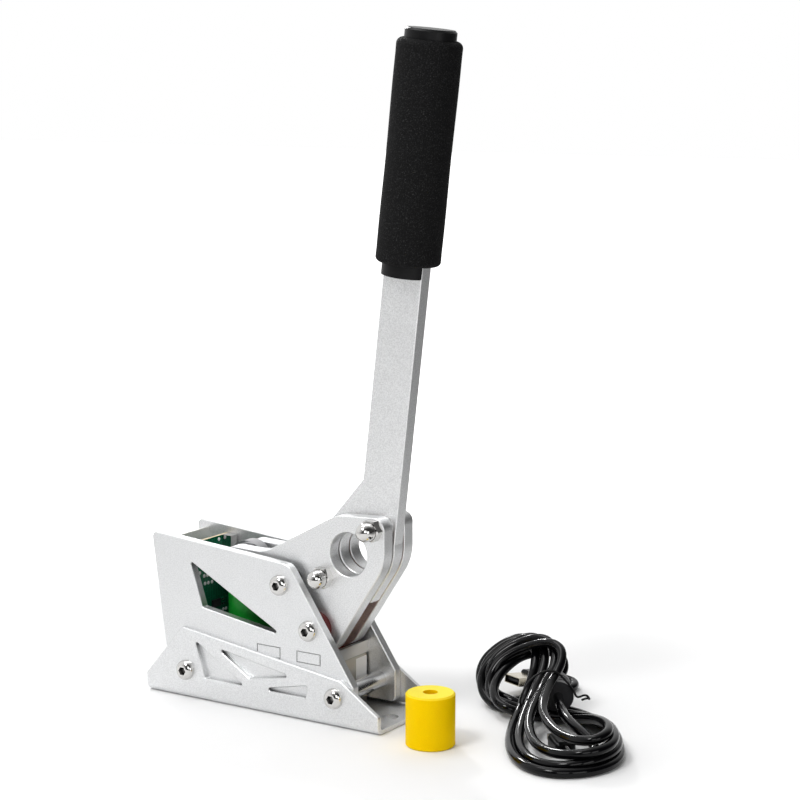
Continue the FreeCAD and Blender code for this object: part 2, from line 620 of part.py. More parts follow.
def cheek_outline():
    """Corners of a lever plate, clockwise from the rear lobe, with the radius of each."""
    lobe_low, lobe_high = "roller_z - lobe_radius", "roller_z + lobe_radius"
    tail = ("roller_x + tail_back", lobe_low)
    reach = math.hypot(num("pivot_x") - num(tail[0]), num(tail[1]) - num("pivot_z"))
    drop = math.degrees(math.atan2(num(tail[1]) - num("pivot_z"), num("pivot_x") - num(tail[0])))
    under = math.tan(math.radians(drop + math.degrees(math.asin(num("foot_radius") / reach))))
    front_angle = math.radians(num("front_slope"))
    front = math.tan(front_angle)
    touch_x = num("pivot_x") + num("foot_radius") * math.sin(front_angle)
    touch_z = num("pivot_z") - num("foot_radius") * math.cos(front_angle)
    foot_x = (num(tail[1]) + under * num(tail[0]) - touch_z + front * touch_x) / (front + under)
    foot_z = touch_z + front * (foot_x - touch_x)
    knee_z = touch_z + front * (num("cheek_front") - touch_x)
    return [
        (("roller_x - lobe_radius", lobe_high), "lobe_radius * 0.98"),
        (("roller_x + saddle_x", "roller_z + saddle_z"), "saddle_radius"),
        (("neck_x - hip_back", "cheek_top - hip_drop"), "hip_radius"),
        (("cheek_front", "cheek_top"), "cheek_corner"),
        (("cheek_front", "%r" % knee_z), "knee_radius"),
        (("%r" % foot_x, "%r" % foot_z), "foot_radius"),
        (tail, "tail_radius"),
        (("roller_x - lobe_radius", lobe_low), "lobe_radius * 0.98"),
    ]


def cheek_plate(label, side):
    """A lever plate: lobe for the roller, eye for the pivot, slot for the stop."""
    item = body(label)
    corners = cheek_outline()
    outline = sketch(item, "XZ_Plane", "-cheek_inside" if side > 0 else "cheek_inside")
    polygon(outline, [corner for corner, radius in corners])
    pad(item, outline, "cheek", reverse=side > 0)
    for corner, radius in corners:
        round_corners(item, [corner], radius)
    holes = sketch(item, "XZ_Plane")
    circle(holes, ("pivot_x", "pivot_z"), "axle / 2 + bush_wall")
    circle(holes, ("roller_x", "roller_z"), "roller_bore / 2 + fit")
    circle(holes, LIGHT_HOLE, "light_hole / 2")
    for place in BOLTS:
        circle(holes, place, "screw_hole / 2")
    through = "2 * cheek_outside + 2"
    pocket(item, holes, through, centred=True)
    bevel_faces(item, ["cheek_inside * %d" % side, "cheek_outside * %d" % side])
    wide = num("stop_tube / 2 + sleeve + free_gap")
    radius = math.hypot(num("stop_back"), num("stop_up"))
    start = math.atan2(num("stop_up"), -num("stop_back"))
    end = start - math.radians(num("travel"))
    rim = []
    for angle, distance in ((start, radius - wide), (start, radius + wide),
                            (end, radius + wide), (end, radius - wide)):
        rim.append((num("pivot_x") + distance * math.cos(angle), num("pivot_z") + distance * math.sin(angle)))
    slot = sketch(item, "XZ_Plane")
    polygon(slot, rim)
    pocket(item, slot, through, centred=True)
    for angle in (start, end):
        ending = sketch(item, "XZ_Plane")
        circle(ending, (num("pivot_x") + radius * math.cos(angle), num("pivot_z") + radius * math.sin(angle)),
               wide)
        pocket(item, ending, through, centred=True)


BOLTS = (("bolt_high_x", "bolt_high_z"), ("bolt_low_x", "bolt_low_z"))
LIGHT_HOLE = ("(bolt_high_x + bolt_low_x) / 2 - 0.4", "(bolt_high_z + bolt_low_z) / 2 - 0.7")


def lever_bar():
    """The flat bar: slim in the grip, flared where the two plates clamp it."""
    item = body("lever_bar_blank", is_node=False)
    along = "neck_x + sin(lever_lean) * (%s) %s cos(lever_lean) * bar_width / 2"
    above = "neck_z + cos(lever_lean) * (%s) %s sin(lever_lean) * bar_width / 2"
    bend = "(cheek_front - neck_x - cos(lever_lean) * bar_width / 2) / sin(lever_lean)"
    front_x, front_z = cheek_outline()[4][0]
    foot_x = "cheek_front - (%s - bar_floor) / tan(front_slope)" % front_z
    corners = [
        (along % ("bar_top", "-"), above % ("bar_top", "+")),
        (along % ("bar_top", "+"), above % ("bar_top", "-")),
        ("cheek_front", above % (bend, "-")),
        (front_x, front_z),
        (foot_x, "bar_floor"),
        ("bar_back", "bar_floor"),
        ("bar_back", "bolt_low_z + 19"),
        (along % ("3", "-"), above % ("3", "+")),
    ]
    outline = sketch(item, "XZ_Plane")
    polygon(outline, corners)
    pad(item, outline, "bar_thick", centred=True)
    round_corners(item, [corners[3]], "knee_radius")
    round_corners(item, [corners[5]], "tail_radius")
    holes = sketch(item, "XZ_Plane")
    circle(holes, LIGHT_HOLE, "light_hole / 2")
    for place in BOLTS:
        circle(holes, place, "screw_hole / 2")
    for height in GRIP_POSTS:
        circle(holes, ("neck_x + sin(lever_lean) * (%s)" % height,
                       "neck_z + cos(lever_lean) * (%s)" % height), "post / 2 + fit")
    pocket(item, holes, "2 * bar_thick", centred=True)
    bevel_faces(item, ["bar_thick / 2", "-bar_thick / 2"])
    x, z = grip_place("bar_top - stud_depth")
    hole = cylinder("stud / 2 + fit", "2 * stud_depth", x, "0", z, LEANING)
    node(cut(item, hole), "lever_bar")


GRIP_POSTS = ["core_start + (core_end - core_start) * %s" % share for share in ("0.17", "0.5", "0.81")]


def dome_nut():
    """A closed nut: chamfered hexagon, round neck and dome, with a blind bore; it stands on Z = 0."""
    hexagon = doc.addObject("Part::Prism", "hexagon")
    hexagon.Polygon = 6
    bind(hexagon, Circumradius="nut_width / 2 / cos(30)", Height="nut_hex")
    cone = doc.addObject("Part::Cone", "hex_chamfer")
    bind(cone, Radius1="nut_width / 2 + nut_hex", Radius2="nut_width / 2", Height="nut_hex")
    dome = doc.addObject("Part::Sphere", "dome")
    bind(dome, Radius="nut_dome", z="nut_neck")
    shell = join(common(hexagon, cone), cylinder("nut_dome", "nut_neck"), dome)
    return cut(shell, cylinder("bolt / 2 + fit", "nut_depth"))


def lever_fasteners():
    """Two bolts with closed nuts that clamp bar and plates, and shims that space them."""
    nut = dome_nut()
    bolt = button_screw("cheek_bolt")
    doc.recompute()
    copies("cheek_bolts", bolt, [spot(x, "cheek_outside", z, ACROSS_BACK) for x, z in BOLTS])
    copies("dome_nuts", nut, [spot(x, "-cheek_outside", z, ACROSS) for x, z in BOLTS])
    shims = [side_tube("bolt_head / 2 + 0.25", "screw_hole / 2", "bar_thick / 2", "shim", x, z, side)
             for x, z in BOLTS for side in (-1, 1)]
    node(together(shims), "cheek_shims")


def pivot_parts():
    """Rimmed bushes in the plates' eyes, and the spacer between them."""
    bushes = []
    for side in (-1, 1):
        sleeve = side_tube("axle / 2 + bush_wall", "axle / 2 + fit", "cheek_inside", "cheek",
                           "pivot_x", "pivot_z", side)
        rim = side_tube("axle / 2 + bush_wall + 2", "axle / 2 + fit", "cheek_inside - bush_rim", "bush_rim",
                        "pivot_x", "pivot_z", side)
        bushes.append(join(sleeve, rim))
    node(together(bushes), "pivot_bushes")
    node(cross_tube("axle / 2 + bush_wall + 1", "axle / 2 + free_gap", "cheek_inside - bush_rim",
                    "pivot_x", "pivot_z"), "pivot_spacer")


def roller_parts():
    """A sealed ball bearing as roller on a grooved pin with clips."""
    place = ("roller_x", "roller_z")
    half = "roller_width / 2"
    node(cross_tube("roller / 2", "roller / 2 - race", half, *place), "roller_outer_ring")
    node(cross_tube("roller_bore / 2 + race", "roller_bore / 2 + fit", half, *place), "roller_inner_ring")
    node(together([side_tube("roller / 2 - race", "roller_bore / 2 + race + fit", half + " - 1", "0.8",
                             *place, side) for side in (-1, 1)]), "roller_seals")
    node(together([side_tube("roller_bore / 2 + 2", "roller_bore / 2 + fit", half,
                             "cheek_inside - " + half, *place, side) for side in (-1, 1)]),
         "roller_spacers")
    rod = cylinder("roller_bore / 2", "2 * cheek_outside + 4 * clip", place[0],
                   "cheek_outside + 2 * clip", place[1], ACROSS)
    grooves = [side_tube("roller_bore / 2 + 1", "roller_bore / 2 - 0.7", "cheek_outside + fit", "clip",
                         *place, side) for side in (-1, 1)]
    node(cut(rod, *grooves), "roller_pin")
    node(together([side_tube("roller_bore / 2 + 2", "roller_bore / 2 - 0.7", "cheek_outside + fit",
                             "clip - fit", *place, side) for side in (-1, 1)]), "roller_clips")


def grip_place(along_axis, offset="0"):
    """A point on the grip's axis, from the neck upwards, moved sideways in the bar's plane."""
    return ("neck_x + sin(lever_lean) * (%s) + cos(lever_lean) * (%s)" % (along_axis, offset),
            "neck_z + cos(lever_lean) * (%s) - sin(lever_lean) * (%s)" % (along_axis, offset))


def grip_parts():
    """Two half-round cores bolted to the bar, a foam sleeve and an end cap."""
    length = "core_end - core_start"
    for label, side in (("grip_core_right", -1), ("grip_core_left", 1)):
        x, z = grip_place("core_start")
        rod = cylinder("core / 2", length, x, "0", z, LEANING)
        corner_x, corner_z = grip_place("core_start - 1", "-bar_width / 2")
        low = "bar_thick / 2" if side > 0 else "-bar_thick / 2 - core"
        slab = box("bar_width", "core", length + " + 2", corner_x, low, corner_z, LEANING)
        half = common(rod, slab)
        drills = []
        for height in GRIP_POSTS:
            px, pz = grip_place(height)
            drills.append(cylinder("post / 2 + fit", "core + 2", px, "core / 2 + 1", pz, ACROSS))
            rotation = ACROSS if side < 0 else ACROSS_BACK
            drills.append(cylinder("post_head / 2 + fit", "core", px, "%d * (core / 2 - 3.4)" % side, pz,
                                   rotation))
        node(cut(half, *drills), label)
    posts = []
    for height in GRIP_POSTS:
        px, pz = grip_place(height)
        shank = cylinder("post / 2", "core - 6", px, "core / 2 - 3", pz, ACROSS)
        heads = [cylinder("post_head / 2", "2.6", px, "%d * (core / 2 - 3.4)" % side, pz,
                          ACROSS if side < 0 else ACROSS_BACK) for side in (-1, 1)]
        posts.append(join(shank, *heads))
    node(together(posts), "grip_screws")
    cap = body("grip_cap")
    revolve(cap, [("0", "-stud_length"), ("stud / 2", "-stud_length"), ("stud / 2", "0"), ("core / 2", "0"),
                  ("core / 2", "cap - 1"), ("core / 2 - 1", "cap"), ("0", "cap")])
    x, z = grip_place("core_end")
    cap.Placement = FreeCAD.Placement(FreeCAD.Vector(), LEANING)
    bind(cap, x=x, y="0", z=z)
    foam = body("foam_grip")
    revolve(foam, [("core / 2 + foam_gap", "0"), ("foam / 2 - 1.5", "0"), ("foam / 2", "1.5"),
                   ("foam / 2", "foam_end - foam_start - 2.5"), ("foam / 2 - 2", "foam_end - foam_start"),
                   ("core / 2 + foam_gap", "foam_end - foam_start")])
    x, z = grip_place("foam_start")
    foam.Placement = FreeCAD.Placement(FreeCAD.Vector(), LEANING)
    bind(foam, x=x, y="0", z=z)


def electronics():
    """The controller board on posts from the rear panel, with its parts and the sensor's wire."""
    face, back = "-board_x", "board_back"
    board = box("board", "board_width", "board_height", back, "-board_width / 2", "board_floor")
    post_places = [("%s * (board_width / 2 - post_inset)" % side, height) for side in ("1", "-1")
                   for height in ("board_floor + post_low", "board_floor + board_height - post_high")]
    drills = [cylinder("board_thread / 2 + soft_gap", "3 * board", back + " - board", y, z, ALONG)
              for y, z in post_places]
    node(cut(board, *drills), "controller_board")
    posts = []
    for y, z in post_places:
        post = cylinder("board_post / 2", "post_length", back + " - post_length", y, z, ALONG)
        behind = box("2 * post_length", "2 * board_width", "2 * panel_top",
                     "panel_face_x - 2 * post_length * cos(rear_lean)", "-board_width",
                     "-2 * post_length * sin(rear_lean)", turned((0, 1, 0), -num("rear_lean")))
        bore = cylinder("board_thread / 2 + fit", "post_bore", back + " - post_bore", y, z, ALONG)
        posts.append(cut(post, behind, bore))
    node(together(posts), "board_posts")
    heads = []
    for y, z in post_places:
        head = cylinder("board_head / 2", "board_head * 0.35", face, y, z, ALONG)
        shank = cylinder("board_thread / 2", "board + post_bore - 0.5", back + " - post_bore + 0.5", y, z,
                         ALONG)
        heads.append(join(head, shank))
    node(together(heads), "board_screws")
    shell = box("usb_length", "usb_width", "usb_height", back + " - usb_length", "-usb_width / 2",
                "usb_z - usb_height / 2")
    mouth = box("usb_length", "usb_width - 2 * usb_wall", "usb_height - 2 * usb_wall",
                back + " - usb_length - 2 * usb_wall", "-usb_width / 2 + usb_wall",
                "usb_z - usb_height / 2 + usb_wall")
    node(cut(shell, mouth), "usb_socket")
    node(box("usb_length * 0.65", "usb_width / 2", "usb_height / 4", back + " - 2 * usb_wall - usb_length * 0.65",
             "-usb_width / 4", "usb_z - usb_height / 8"), "usb_tongue")
    amplifier = box("1.2", "6.5", "4", face, "1", "board_floor + 18.4")
    controller = box("1.2", "9", "9", face, "-9.1", "board_floor + 3")
    crystal = box("3.2", "7.5", "3.5", face, "1.2", "board_floor + 6")
    node(together([amplifier, controller, crystal]), "board_chips")
    passives = [box("0.9", "1.6", "0.9", face, str(y), "board_floor + %s" % z)
                for y, z in ((-9, 14), (-6, 14), (-3, 14), (1, 12), (4, 12), (7, 12), (9.5, 18.5), (9.5, 21))]
    node(together(passives), "board_passives")
    plug_z = "board_floor + board_height - plug_height"
    node(box("plug_depth", "plug_width", "plug_height", face, "board_width / 2 - plug_width", plug_z),
         "board_connector")
    return plug_z


def cell_wire(plug_z):
    """The sensor's lead: down the board and round into the beam's rear end."""
    radius = num("cell_rear - wire_x")
    x, y = num("wire_x"), num("wire_y")
    end_z = num("cell_floor + cell_height / 2")
    top = FreeCAD.Vector(x, y, num(plug_z))
    bend = FreeCAD.Vector(x, y, end_z + radius)
    middle = FreeCAD.Vector(x + radius * (1 - math.sqrt(0.5)), y, end_z + radius * (1 - math.sqrt(0.5)))
    end = FreeCAD.Vector(x + radius, y, end_z)
    path = Part.Wire([Part.LineSegment(top, bend).toShape(), Part.Arc(bend, middle, end).toShape()])
    ring = Part.Wire([Part.Circle(top, FreeCAD.Vector(0, 0, -1), num("wire / 2")).toShape()])
    item = node(doc.addObject("Part::Feature", "cell_wire"), "cell_wire")
    item.Shape = path.makePipeShell([ring], True, False)
    length = path.Length
    expected = math.pi * num("wire / 2") ** 2 * length
    print("sensor wire: length %.1f mm, bend %.1f mm, volume %.4f of its section times length"
          % (length, radius, item.Shape.Volume / expected))


LYING_LOBE = ((-0.12, 0.12), (-0.22, -0.5), (-0.08, -0.88), (0.12, -0.95), (0.34, -0.84), (0.4, -0.56),
              (0.32, -0.1), (0.12, 0.14))
LYING_EYE = ((0.02, -0.4), (0.05, -0.69), (0.14, -0.64), (0.21, -0.38), (0.1, -0.2))
STANDING_LOBE = ((-0.36, 0.2), (-0.31, 0.33), (-0.08, 0.45), (0.1, 0.37), (0.2, 0.16), (0.14, -0.08),
                 (-0.08, -0.08), (-0.2, 0.03))
LARGE_TIP = ("-hank * 0.119", "hank * 0.406", "large_grip_high")
SMALL_TIP = ("hank * 0.042", "-hank * 0.39", "small_grip_high / 2")


def lobe(label, height, outline, eye=()):
    """One lobe of the tied lead: its outline in shares of the hank's length, with or without an eye."""
    item = body(label, is_node=False)
    profile = sketch(item, "XY_Plane")
    for shares in (outline, eye):
        if shares:
            polygon(profile, [("hank * %s" % u, "hank * %s" % v) for u, v in shares])
    pad(item, profile, height)
    round_corners(item, [("hank * %s" % u, "hank * %s" % v) for u, v in outline], "hank * 0.05", "z")
    if eye:
        round_corners(item, [("hank * %s" % u, "hank * %s" % v) for u, v in eye], "hank * 0.02", "z")
    return item


def plug(size, tip):
    """A plug of the lead: metal shell, tongue and moulded grip, and the space that they need."""
    dip = turned((0, 1, 0), num(size + "_dip"))
    rotation = turned((0, 0, 1), num(size + "_turn")).multiply(dip)
    place = spot(*tip, rotation)
    wide, high = size + "_wide", size + "_high"
    outer = box(size + "_shell", wide, high, "0", "-%s / 2" % wide, "-%s / 2" % high)
    inner = box(size + "_shell + 2 * shell_wall", wide + " - 2 * shell_wall", high + " - 2 * shell_wall",
                "-shell_wall", "-%s / 2 + shell_wall" % wide, "-%s / 2 + shell_wall" % high)
    tongue = box(size + "_shell * 0.9", wide + " - 2 * shell_wall - 4 * fit", high + " * 0.3",
                 size + "_shell * 0.1", "-%s / 2 + shell_wall + 2 * fit" % wide, "-%s * 0.15" % high)
    grip = body(size + "_grip", is_node=False)
    profile = sketch(grip, "YZ_Plane", size + "_shell")
    across, upright = size + "_grip_wide / 2", size + "_grip_high / 2"
    corners = [("-" + across, "-" + upright), (across, "-" + upright), (across, upright),
               ("-" + across, upright)]
    polygon(profile, corners)
    pad(grip, profile, size + "_grip")
    round_corners(grip, corners, size + "_grip_high * 0.3", "x")
    bevel_faces(grip, [size + "_shell + " + size + "_grip"], size + "_grip_high * 0.15", "x")
    corner = place.multVec(FreeCAD.Vector(-num("fit"), -num(across) - num("fit"), -num(upright) - num("fit")))
    space = box(size + "_shell + " + size + "_grip + 2 * fit", size + "_grip_wide + 2 * fit",
                size + "_grip_high + 2 * fit", *["%r" % part for part in corner], rotation)
    return place, cut(outer, inner), join(grip, tongue), space


def lead():
    """The tied lead: two lobes, a ribbed ferrite core and a plug at each end."""
    beside = spot("hank_x", "hank_y", "0", turned((0, 0, 1), num("hank_turn")))
    ferrite_x, ferrite_y = "hank * 0.09", "-hank * 0.022"
    core = tube("ferrite / 2", "lead_bore / 2", "ferrite_length", ferrite_x, ferrite_y, "ferrite_z",
                ACROSS_BACK)
    ribs = [tube("ferrite", "ferrite / 2 - ferrite_rib / 2", "ferrite_rib", ferrite_x,
                 ferrite_y + " + ferrite_length * %s" % share, "ferrite_z", ACROSS_BACK)
            for share in ("0.2", "0.35", "0.5", "0.65")]
    core = cut(core, *ribs)
    spaces = [cylinder("ferrite / 2 + fit", "ferrite_length + 2 * fit", ferrite_x, ferrite_y + " - fit",
                       "ferrite_z", ACROSS_BACK)]
    doc.recompute()
    for size, tip in (("large", LARGE_TIP), ("small", SMALL_TIP)):
        place, shell, grip, space = plug(size, tip)
        doc.recompute()
        copies(size + "_plug_shell", shell, [beside.multiply(place)])
        copies(size + "_plug", grip, [beside.multiply(place)])
        spaces.append(space)
    lying = lobe("lying_lobe", "lying_depth", LYING_LOBE, LYING_EYE)
    standing = lobe("standing_lobe", "standing_height", STANDING_LOBE)
    above = box("2 * hank", "2 * hank", "hank", "-hank", "-hank * 0.1", "standing_height * 0.52",
                turned((1, 0, 0), num("standing_slope")))
    window = box("hank * 0.1", "2 * hank", "standing_height * 0.5", "-hank * 0.12", "-hank", "eye_floor")
    hank = cut(join(lying, cut(standing, above, window)), *spaces)
    doc.recompute()
    copies("lead_hank", hank, [beside])
    copies("ferrite_core", core, [beside])


def main():
    base_channel()
    side_plate("side_plate_right", -1)
    side_plate("side_plate_left", 1)
    rear_panel()
    cross_tubes()
    frame_fasteners()
    load_cell()
    rest_bar()
    press_column()
    cheek_plate("cheek_plate_right", -1)
    cheek_plate("cheek_plate_left", 1)
    lever_bar()
    lever_fasteners()
    pivot_parts()
    roller_parts()
    grip_parts()
    cell_wire(electronics())
    lead()
    doc.recompute()
    for item in doc.Objects:
        if "Invalid" in item.State or "Error" in item.State:
            raise ValueError("%s (%s) failed: %s" % (item.Name, item.Label, item.State))
    os.makedirs("parts", exist_ok=True)
    for item in NODES:
        shape = item.Shape
        if shape.isNull() or not shape.isValid() or not shape.Solids:
            raise ValueError("bad shape: " + item.Label)
        shape.exportStep("parts/%s.step" % item.Label)
        box_now = shape.BoundBox
        print("%-20s %2d solid(s) %9.1f mm3  x %6.1f..%6.1f y %6.1f..%6.1f z %6.1f..%6.1f"
              % (item.Label, len(shape.Solids), shape.Volume, box_now.XMin, box_now.XMax,
                 box_now.YMin, box_now.YMax, box_now.ZMin, box_now.ZMax))
    print(len(NODES), "nodes")


main()
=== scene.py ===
"""Looks of the racing handbrake: materials, grip, soft column, tied lead, solder and studio."""

import math

import bmesh
import bpy
from mathutils import Matrix, Vector


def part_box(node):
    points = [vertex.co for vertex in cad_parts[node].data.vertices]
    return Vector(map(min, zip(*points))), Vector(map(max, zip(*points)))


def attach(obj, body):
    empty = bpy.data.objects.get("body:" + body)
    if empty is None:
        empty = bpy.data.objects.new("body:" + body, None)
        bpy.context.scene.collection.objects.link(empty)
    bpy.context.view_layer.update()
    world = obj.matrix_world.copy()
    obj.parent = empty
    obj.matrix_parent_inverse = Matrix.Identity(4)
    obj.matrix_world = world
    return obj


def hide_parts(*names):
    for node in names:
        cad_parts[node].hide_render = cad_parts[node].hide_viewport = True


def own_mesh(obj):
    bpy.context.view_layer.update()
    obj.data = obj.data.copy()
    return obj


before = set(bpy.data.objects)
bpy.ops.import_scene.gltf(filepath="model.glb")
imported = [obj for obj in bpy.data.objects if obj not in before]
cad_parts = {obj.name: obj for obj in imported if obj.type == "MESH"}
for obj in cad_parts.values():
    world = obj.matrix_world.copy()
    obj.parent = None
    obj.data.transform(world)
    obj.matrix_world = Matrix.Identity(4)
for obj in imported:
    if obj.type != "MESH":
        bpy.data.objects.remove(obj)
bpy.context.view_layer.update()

CAMERA_PLACE = (0.6266, -0.8569, 0.3250)
CAMERA_LOOK = (-0.5379, 0.8285, -0.1560)
CAMERA_LENS = 95.4
CAMERA_SENSOR = 36
CAMERA_CLIP = 0.01
LEVER_LEAN = math.radians(6.71)

# studio; a range holds two places on a scale and the value at each
WHITE = (1, 1, 1, 1)
FLOOR_SIZE = 12
FLOOR_GREY = 0.86
FLOOR_LIFT = (0.18, 0.55, 0.0, 0.95)
PAPER_AXIS = (0.57, 0.82, 0)
PAPER_GREY = (0.14, 0.5, 0.85, 0.28)
BACKDROP = (-0.88, 0.22, 0.42)
ROOM_LIGHT = (-0.25, 0.75, 0.05, 1.0)
LAMP_TARGET = Vector((0.03, 0, 0.12))

# each lamp's name, place, power and size
LAMPS = (
    ("key", (-0.1, -0.85, 1.2), 8.3, 0.35),
    ("side", (0.95, -0.35, 0.3), 1.2, 0.4),
    ("fill", (0.75, -0.95, 0.6), 2.6, 0.6),
    ("top", (-0.35, 0.1, 1.35), 4.0, 0.6),
    ("strip", (-0.75, 0.7, 0.75), 3.0, 0.1),
)

# lead in millimetres; the route holds the control points of one spline
LEAD_PLACE = Vector((125.0, 45.0, 0.0))
LEAD_TURN = Matrix.Rotation(math.radians(33), 3, "Z")
LEAD_WIDTH = 4.8
LEAD_ROUTE = (
    (9, 55.8, 4.8), (16, 58.8, 3.8), (22, 54.3, 2.7), (20.9, 46.7, 2.4), (15.3, 41.1, 2.4),
    (8.3, 37.3, 2.4), (1.7, 32.8, 2.4), (-4.3, 27.6, 2.4), (-10.4, 22.3, 2.4), (-17.6, 19.2, 2.6),
    (-23.9, 23.5, 3.9), (-28, 29.3, 7.5), (-29.2, 34.2, 13.5), (-26.4, 37.7, 20), (-20.6, 39.5, 25.2),
    (-13.9, 40.6, 29.2), (-6.4, 40.1, 31.5), (-1.9, 34.5, 29.8), (-0.8, 26.9, 27.9), (-1.1, 19.8, 24.1),
    (-2.6, 13.6, 19.4), (-5.2, 9, 13.5), (-8, 3.1, 9), (-9.8, -4.4, 7.3), (-12.3, -11.5, 5),
    (-14.2, -19.2, 3.8), (-15.6, -27, 3.1), (-16.7, -34.9, 2.7), (-17.5, -42.8, 2.5), (-17.7, -50.8, 2.4),
    (-17.4, -58.8, 2.4), (-16.4, -66.7, 2.4), (-14.4, -74.4, 2.4), (-11, -81.7, 2.4), (-5.7, -87.6, 2.4),
    (1.5, -90.9, 2.4), (9.4, -90.8, 2.4), (17, -88.4, 2.4), (23.5, -83.9, 2.4), (28.7, -77.9, 2.4),
    (32.2, -70.7, 2.4), (34.2, -63, 2.4), (34.9, -55, 2.4), (34.9, -47, 2.4), (34.3, -39.1, 2.4),
    (33.2, -31.2, 2.4), (31.6, -23.4, 2.4), (29.3, -15.7, 2.4), (26.2, -8.4, 2.4), (21.9, -1.6, 2.4),
    (16.7, 4.4, 2.4), (10, 8.7, 2.4), (2.4, 11.2, 2.4), (-5.5, 12.2, 2.4), (-13.2, 10.4, 2.4),
    (-20.5, 11.2, 2.8), (-25.4, 17.2, 4.3), (-28.4, 23.5, 8.2), (-28.4, 28.9, 13.9), (-24.6, 32.9, 19.6),
    (-18.7, 34.8, 24.5), (-12, 35.9, 28.8), (-5.2, 35.2, 32.9), (1.5, 32, 33), (3.5, 25.1, 29.8),
    (3.6, 17.8, 26.6), (2.2, 11, 22.8), (-0.2, 4.6, 18.7), (-3, -2.1, 15.2), (-5.3, -9.2, 12.7),
    (-7.6, -16.5, 10.3), (-9.7, -23.9, 7.9), (-11.4, -31.4, 5.8), (-12.6, -39.1, 4.1), (-13, -47, 3),
    (-12.6, -54.9, 2.5), (-11.3, -62.8, 2.4), (-8.9, -70.4, 2.4), (-4.9, -77.3, 2.6), (1.1, -82.4, 3.2),
    (8.5, -85.1, 4.1), (16.3, -84.5, 5.2), (23.3, -80.8, 6.2), (28.5, -74.9, 6.8), (31.8, -67.6, 7),
    (33.4, -59.8, 7), (33.6, -51.8, 7), (33, -43.9, 6.9), (31.6, -36, 6.6), (29.5, -28.3, 6.1),
    (27, -20.8, 5.3), (23.8, -13.5, 4.3), (19.9, -6.7, 3.4), (14.6, -0.8, 2.6), (7.6, 3, 2.4),
    (0.1, 5.5, 2.5), (-7.6, 7.3, 3.6), (-14.4, 9.5, 6.9), (-20, 14.9, 7.5), (-23.8, 21.6, 9.3),
    (-24.9, 26.7, 15.1), (-22, 29.5, 21.9), (-16.1, 30.9, 26.9), (-9, 31.1, 30.6), (-2, 29.1, 33.8),
    (4.7, 25.1, 34.5), (8.5, 19.3, 31), (8.5, 12.3, 27.2), (6.6, 5.7, 23.2), (2.8, -0.5, 20),
    (0.2, -7.4, 17.1), (-2.4, -14.7, 14.9), (-4.8, -22, 12.8), (-6.8, -29.4, 10.7), (-7.9, -37.1, 8.8),
    (-7.9, -45, 7.4), (-7, -52.8, 6.6), (-5.3, -60.6, 6.2), (-2.6, -68.1, 6.3), (1.3, -75.1, 6.9),
    (6.6, -80.9, 8), (13.4, -84.6, 9.5), (21.1, -83.8, 10.5), (26.9, -78.5, 11.2), (30.1, -71.3, 11.6),
    (31.3, -63.4, 11.8), (31.3, -55.4, 11.6), (30.5, -47.5, 11.1), (28.8, -39.7, 10.4), (26.6, -32.1, 9.4),
    (24, -24.7, 8), (20.8, -17.6, 6.4), (17, -10.9, 4.5), (11.6, -5.3, 2.7), (4.5, -1.7, 2.4),
    (-3, 1.1, 3), (-10.6, 2.5, 4.6), (-17.8, 3.6, 6.7), (-22.7, 9.7, 7.3), (-25.2, 16.5, 10.6),
    (-23.7, 22.1, 15.9), (-19.6, 25.3, 21.9), (-13.2, 25.9, 26.5), (-6.1, 25, 30), (0.7, 22.2, 32.9),
    (6.8, 17.4, 34.7), (11.5, 11.4, 33), (11.2, 5.1, 28.3), (8, -0.3, 23.5), (4.6, -6.9, 20.5),
    (2.3, -14.3, 18.6), (0.5, -21.9, 16.9), (-0.8, -29.5, 15), (-0.5, -37.3, 13.3), (1.1, -45, 12.2),
    (3.1, -52.7, 11.6), (5.6, -60.3, 11.4), (9, -67.5, 11.7), (13.7, -73.9, 12.4), (20.4, -77.4, 13.7),
    (26.3, -72.9, 15.2), (28.2, -65.2, 15.6), (27.9, -57.3, 15.3), (26.5, -49.5, 14.3), (24.4, -42, 12.7),
    (21.9, -34.6, 10.6), (19.2, -27.5, 8.4), (16.1, -20.5, 6), (12.1, -14, 3.9), (6.2, -8.8, 2.7),
    (-0.9, -5.2, 2.7), (-8.5, -2.9, 3.2), (-14.9, -5.7, 6.2), (-20.9, -1.4, 8.1), (-23, 5.8, 10.6),
    (-22.5, 13.3, 13.2), (-19.7, 19.8, 16.8), (-14.9, 25.1, 20.2), (-9, 29.2, 23.6), (-1.6, 31.7, 25.2),
    (6.1, 33, 26), (13.5, 33.3, 23.2), (14.9, 31.8, 16.4), (10.9, 26.3, 12.8), (9.2, 18.5, 12),
    (9, 10.5, 12), (9, 2.6, 12), (8.9, -5.4, 12.1), (8.6, -13.4, 12.2), (8.7, -21.4, 12.1),
    (9.4, -29.3, 11.8), (11, -37.1, 11.3), (13.5, -44.6, 10.4), (16.8, -51.8, 9.3), (20.4, -58.8, 7.6),
    (22.1, -66.2, 5.6), (18.9, -73, 4.1), (11.9, -72.3, 3.5), (8.9, -65, 3.5), (8.4, -57, 3.5),
)


# materials

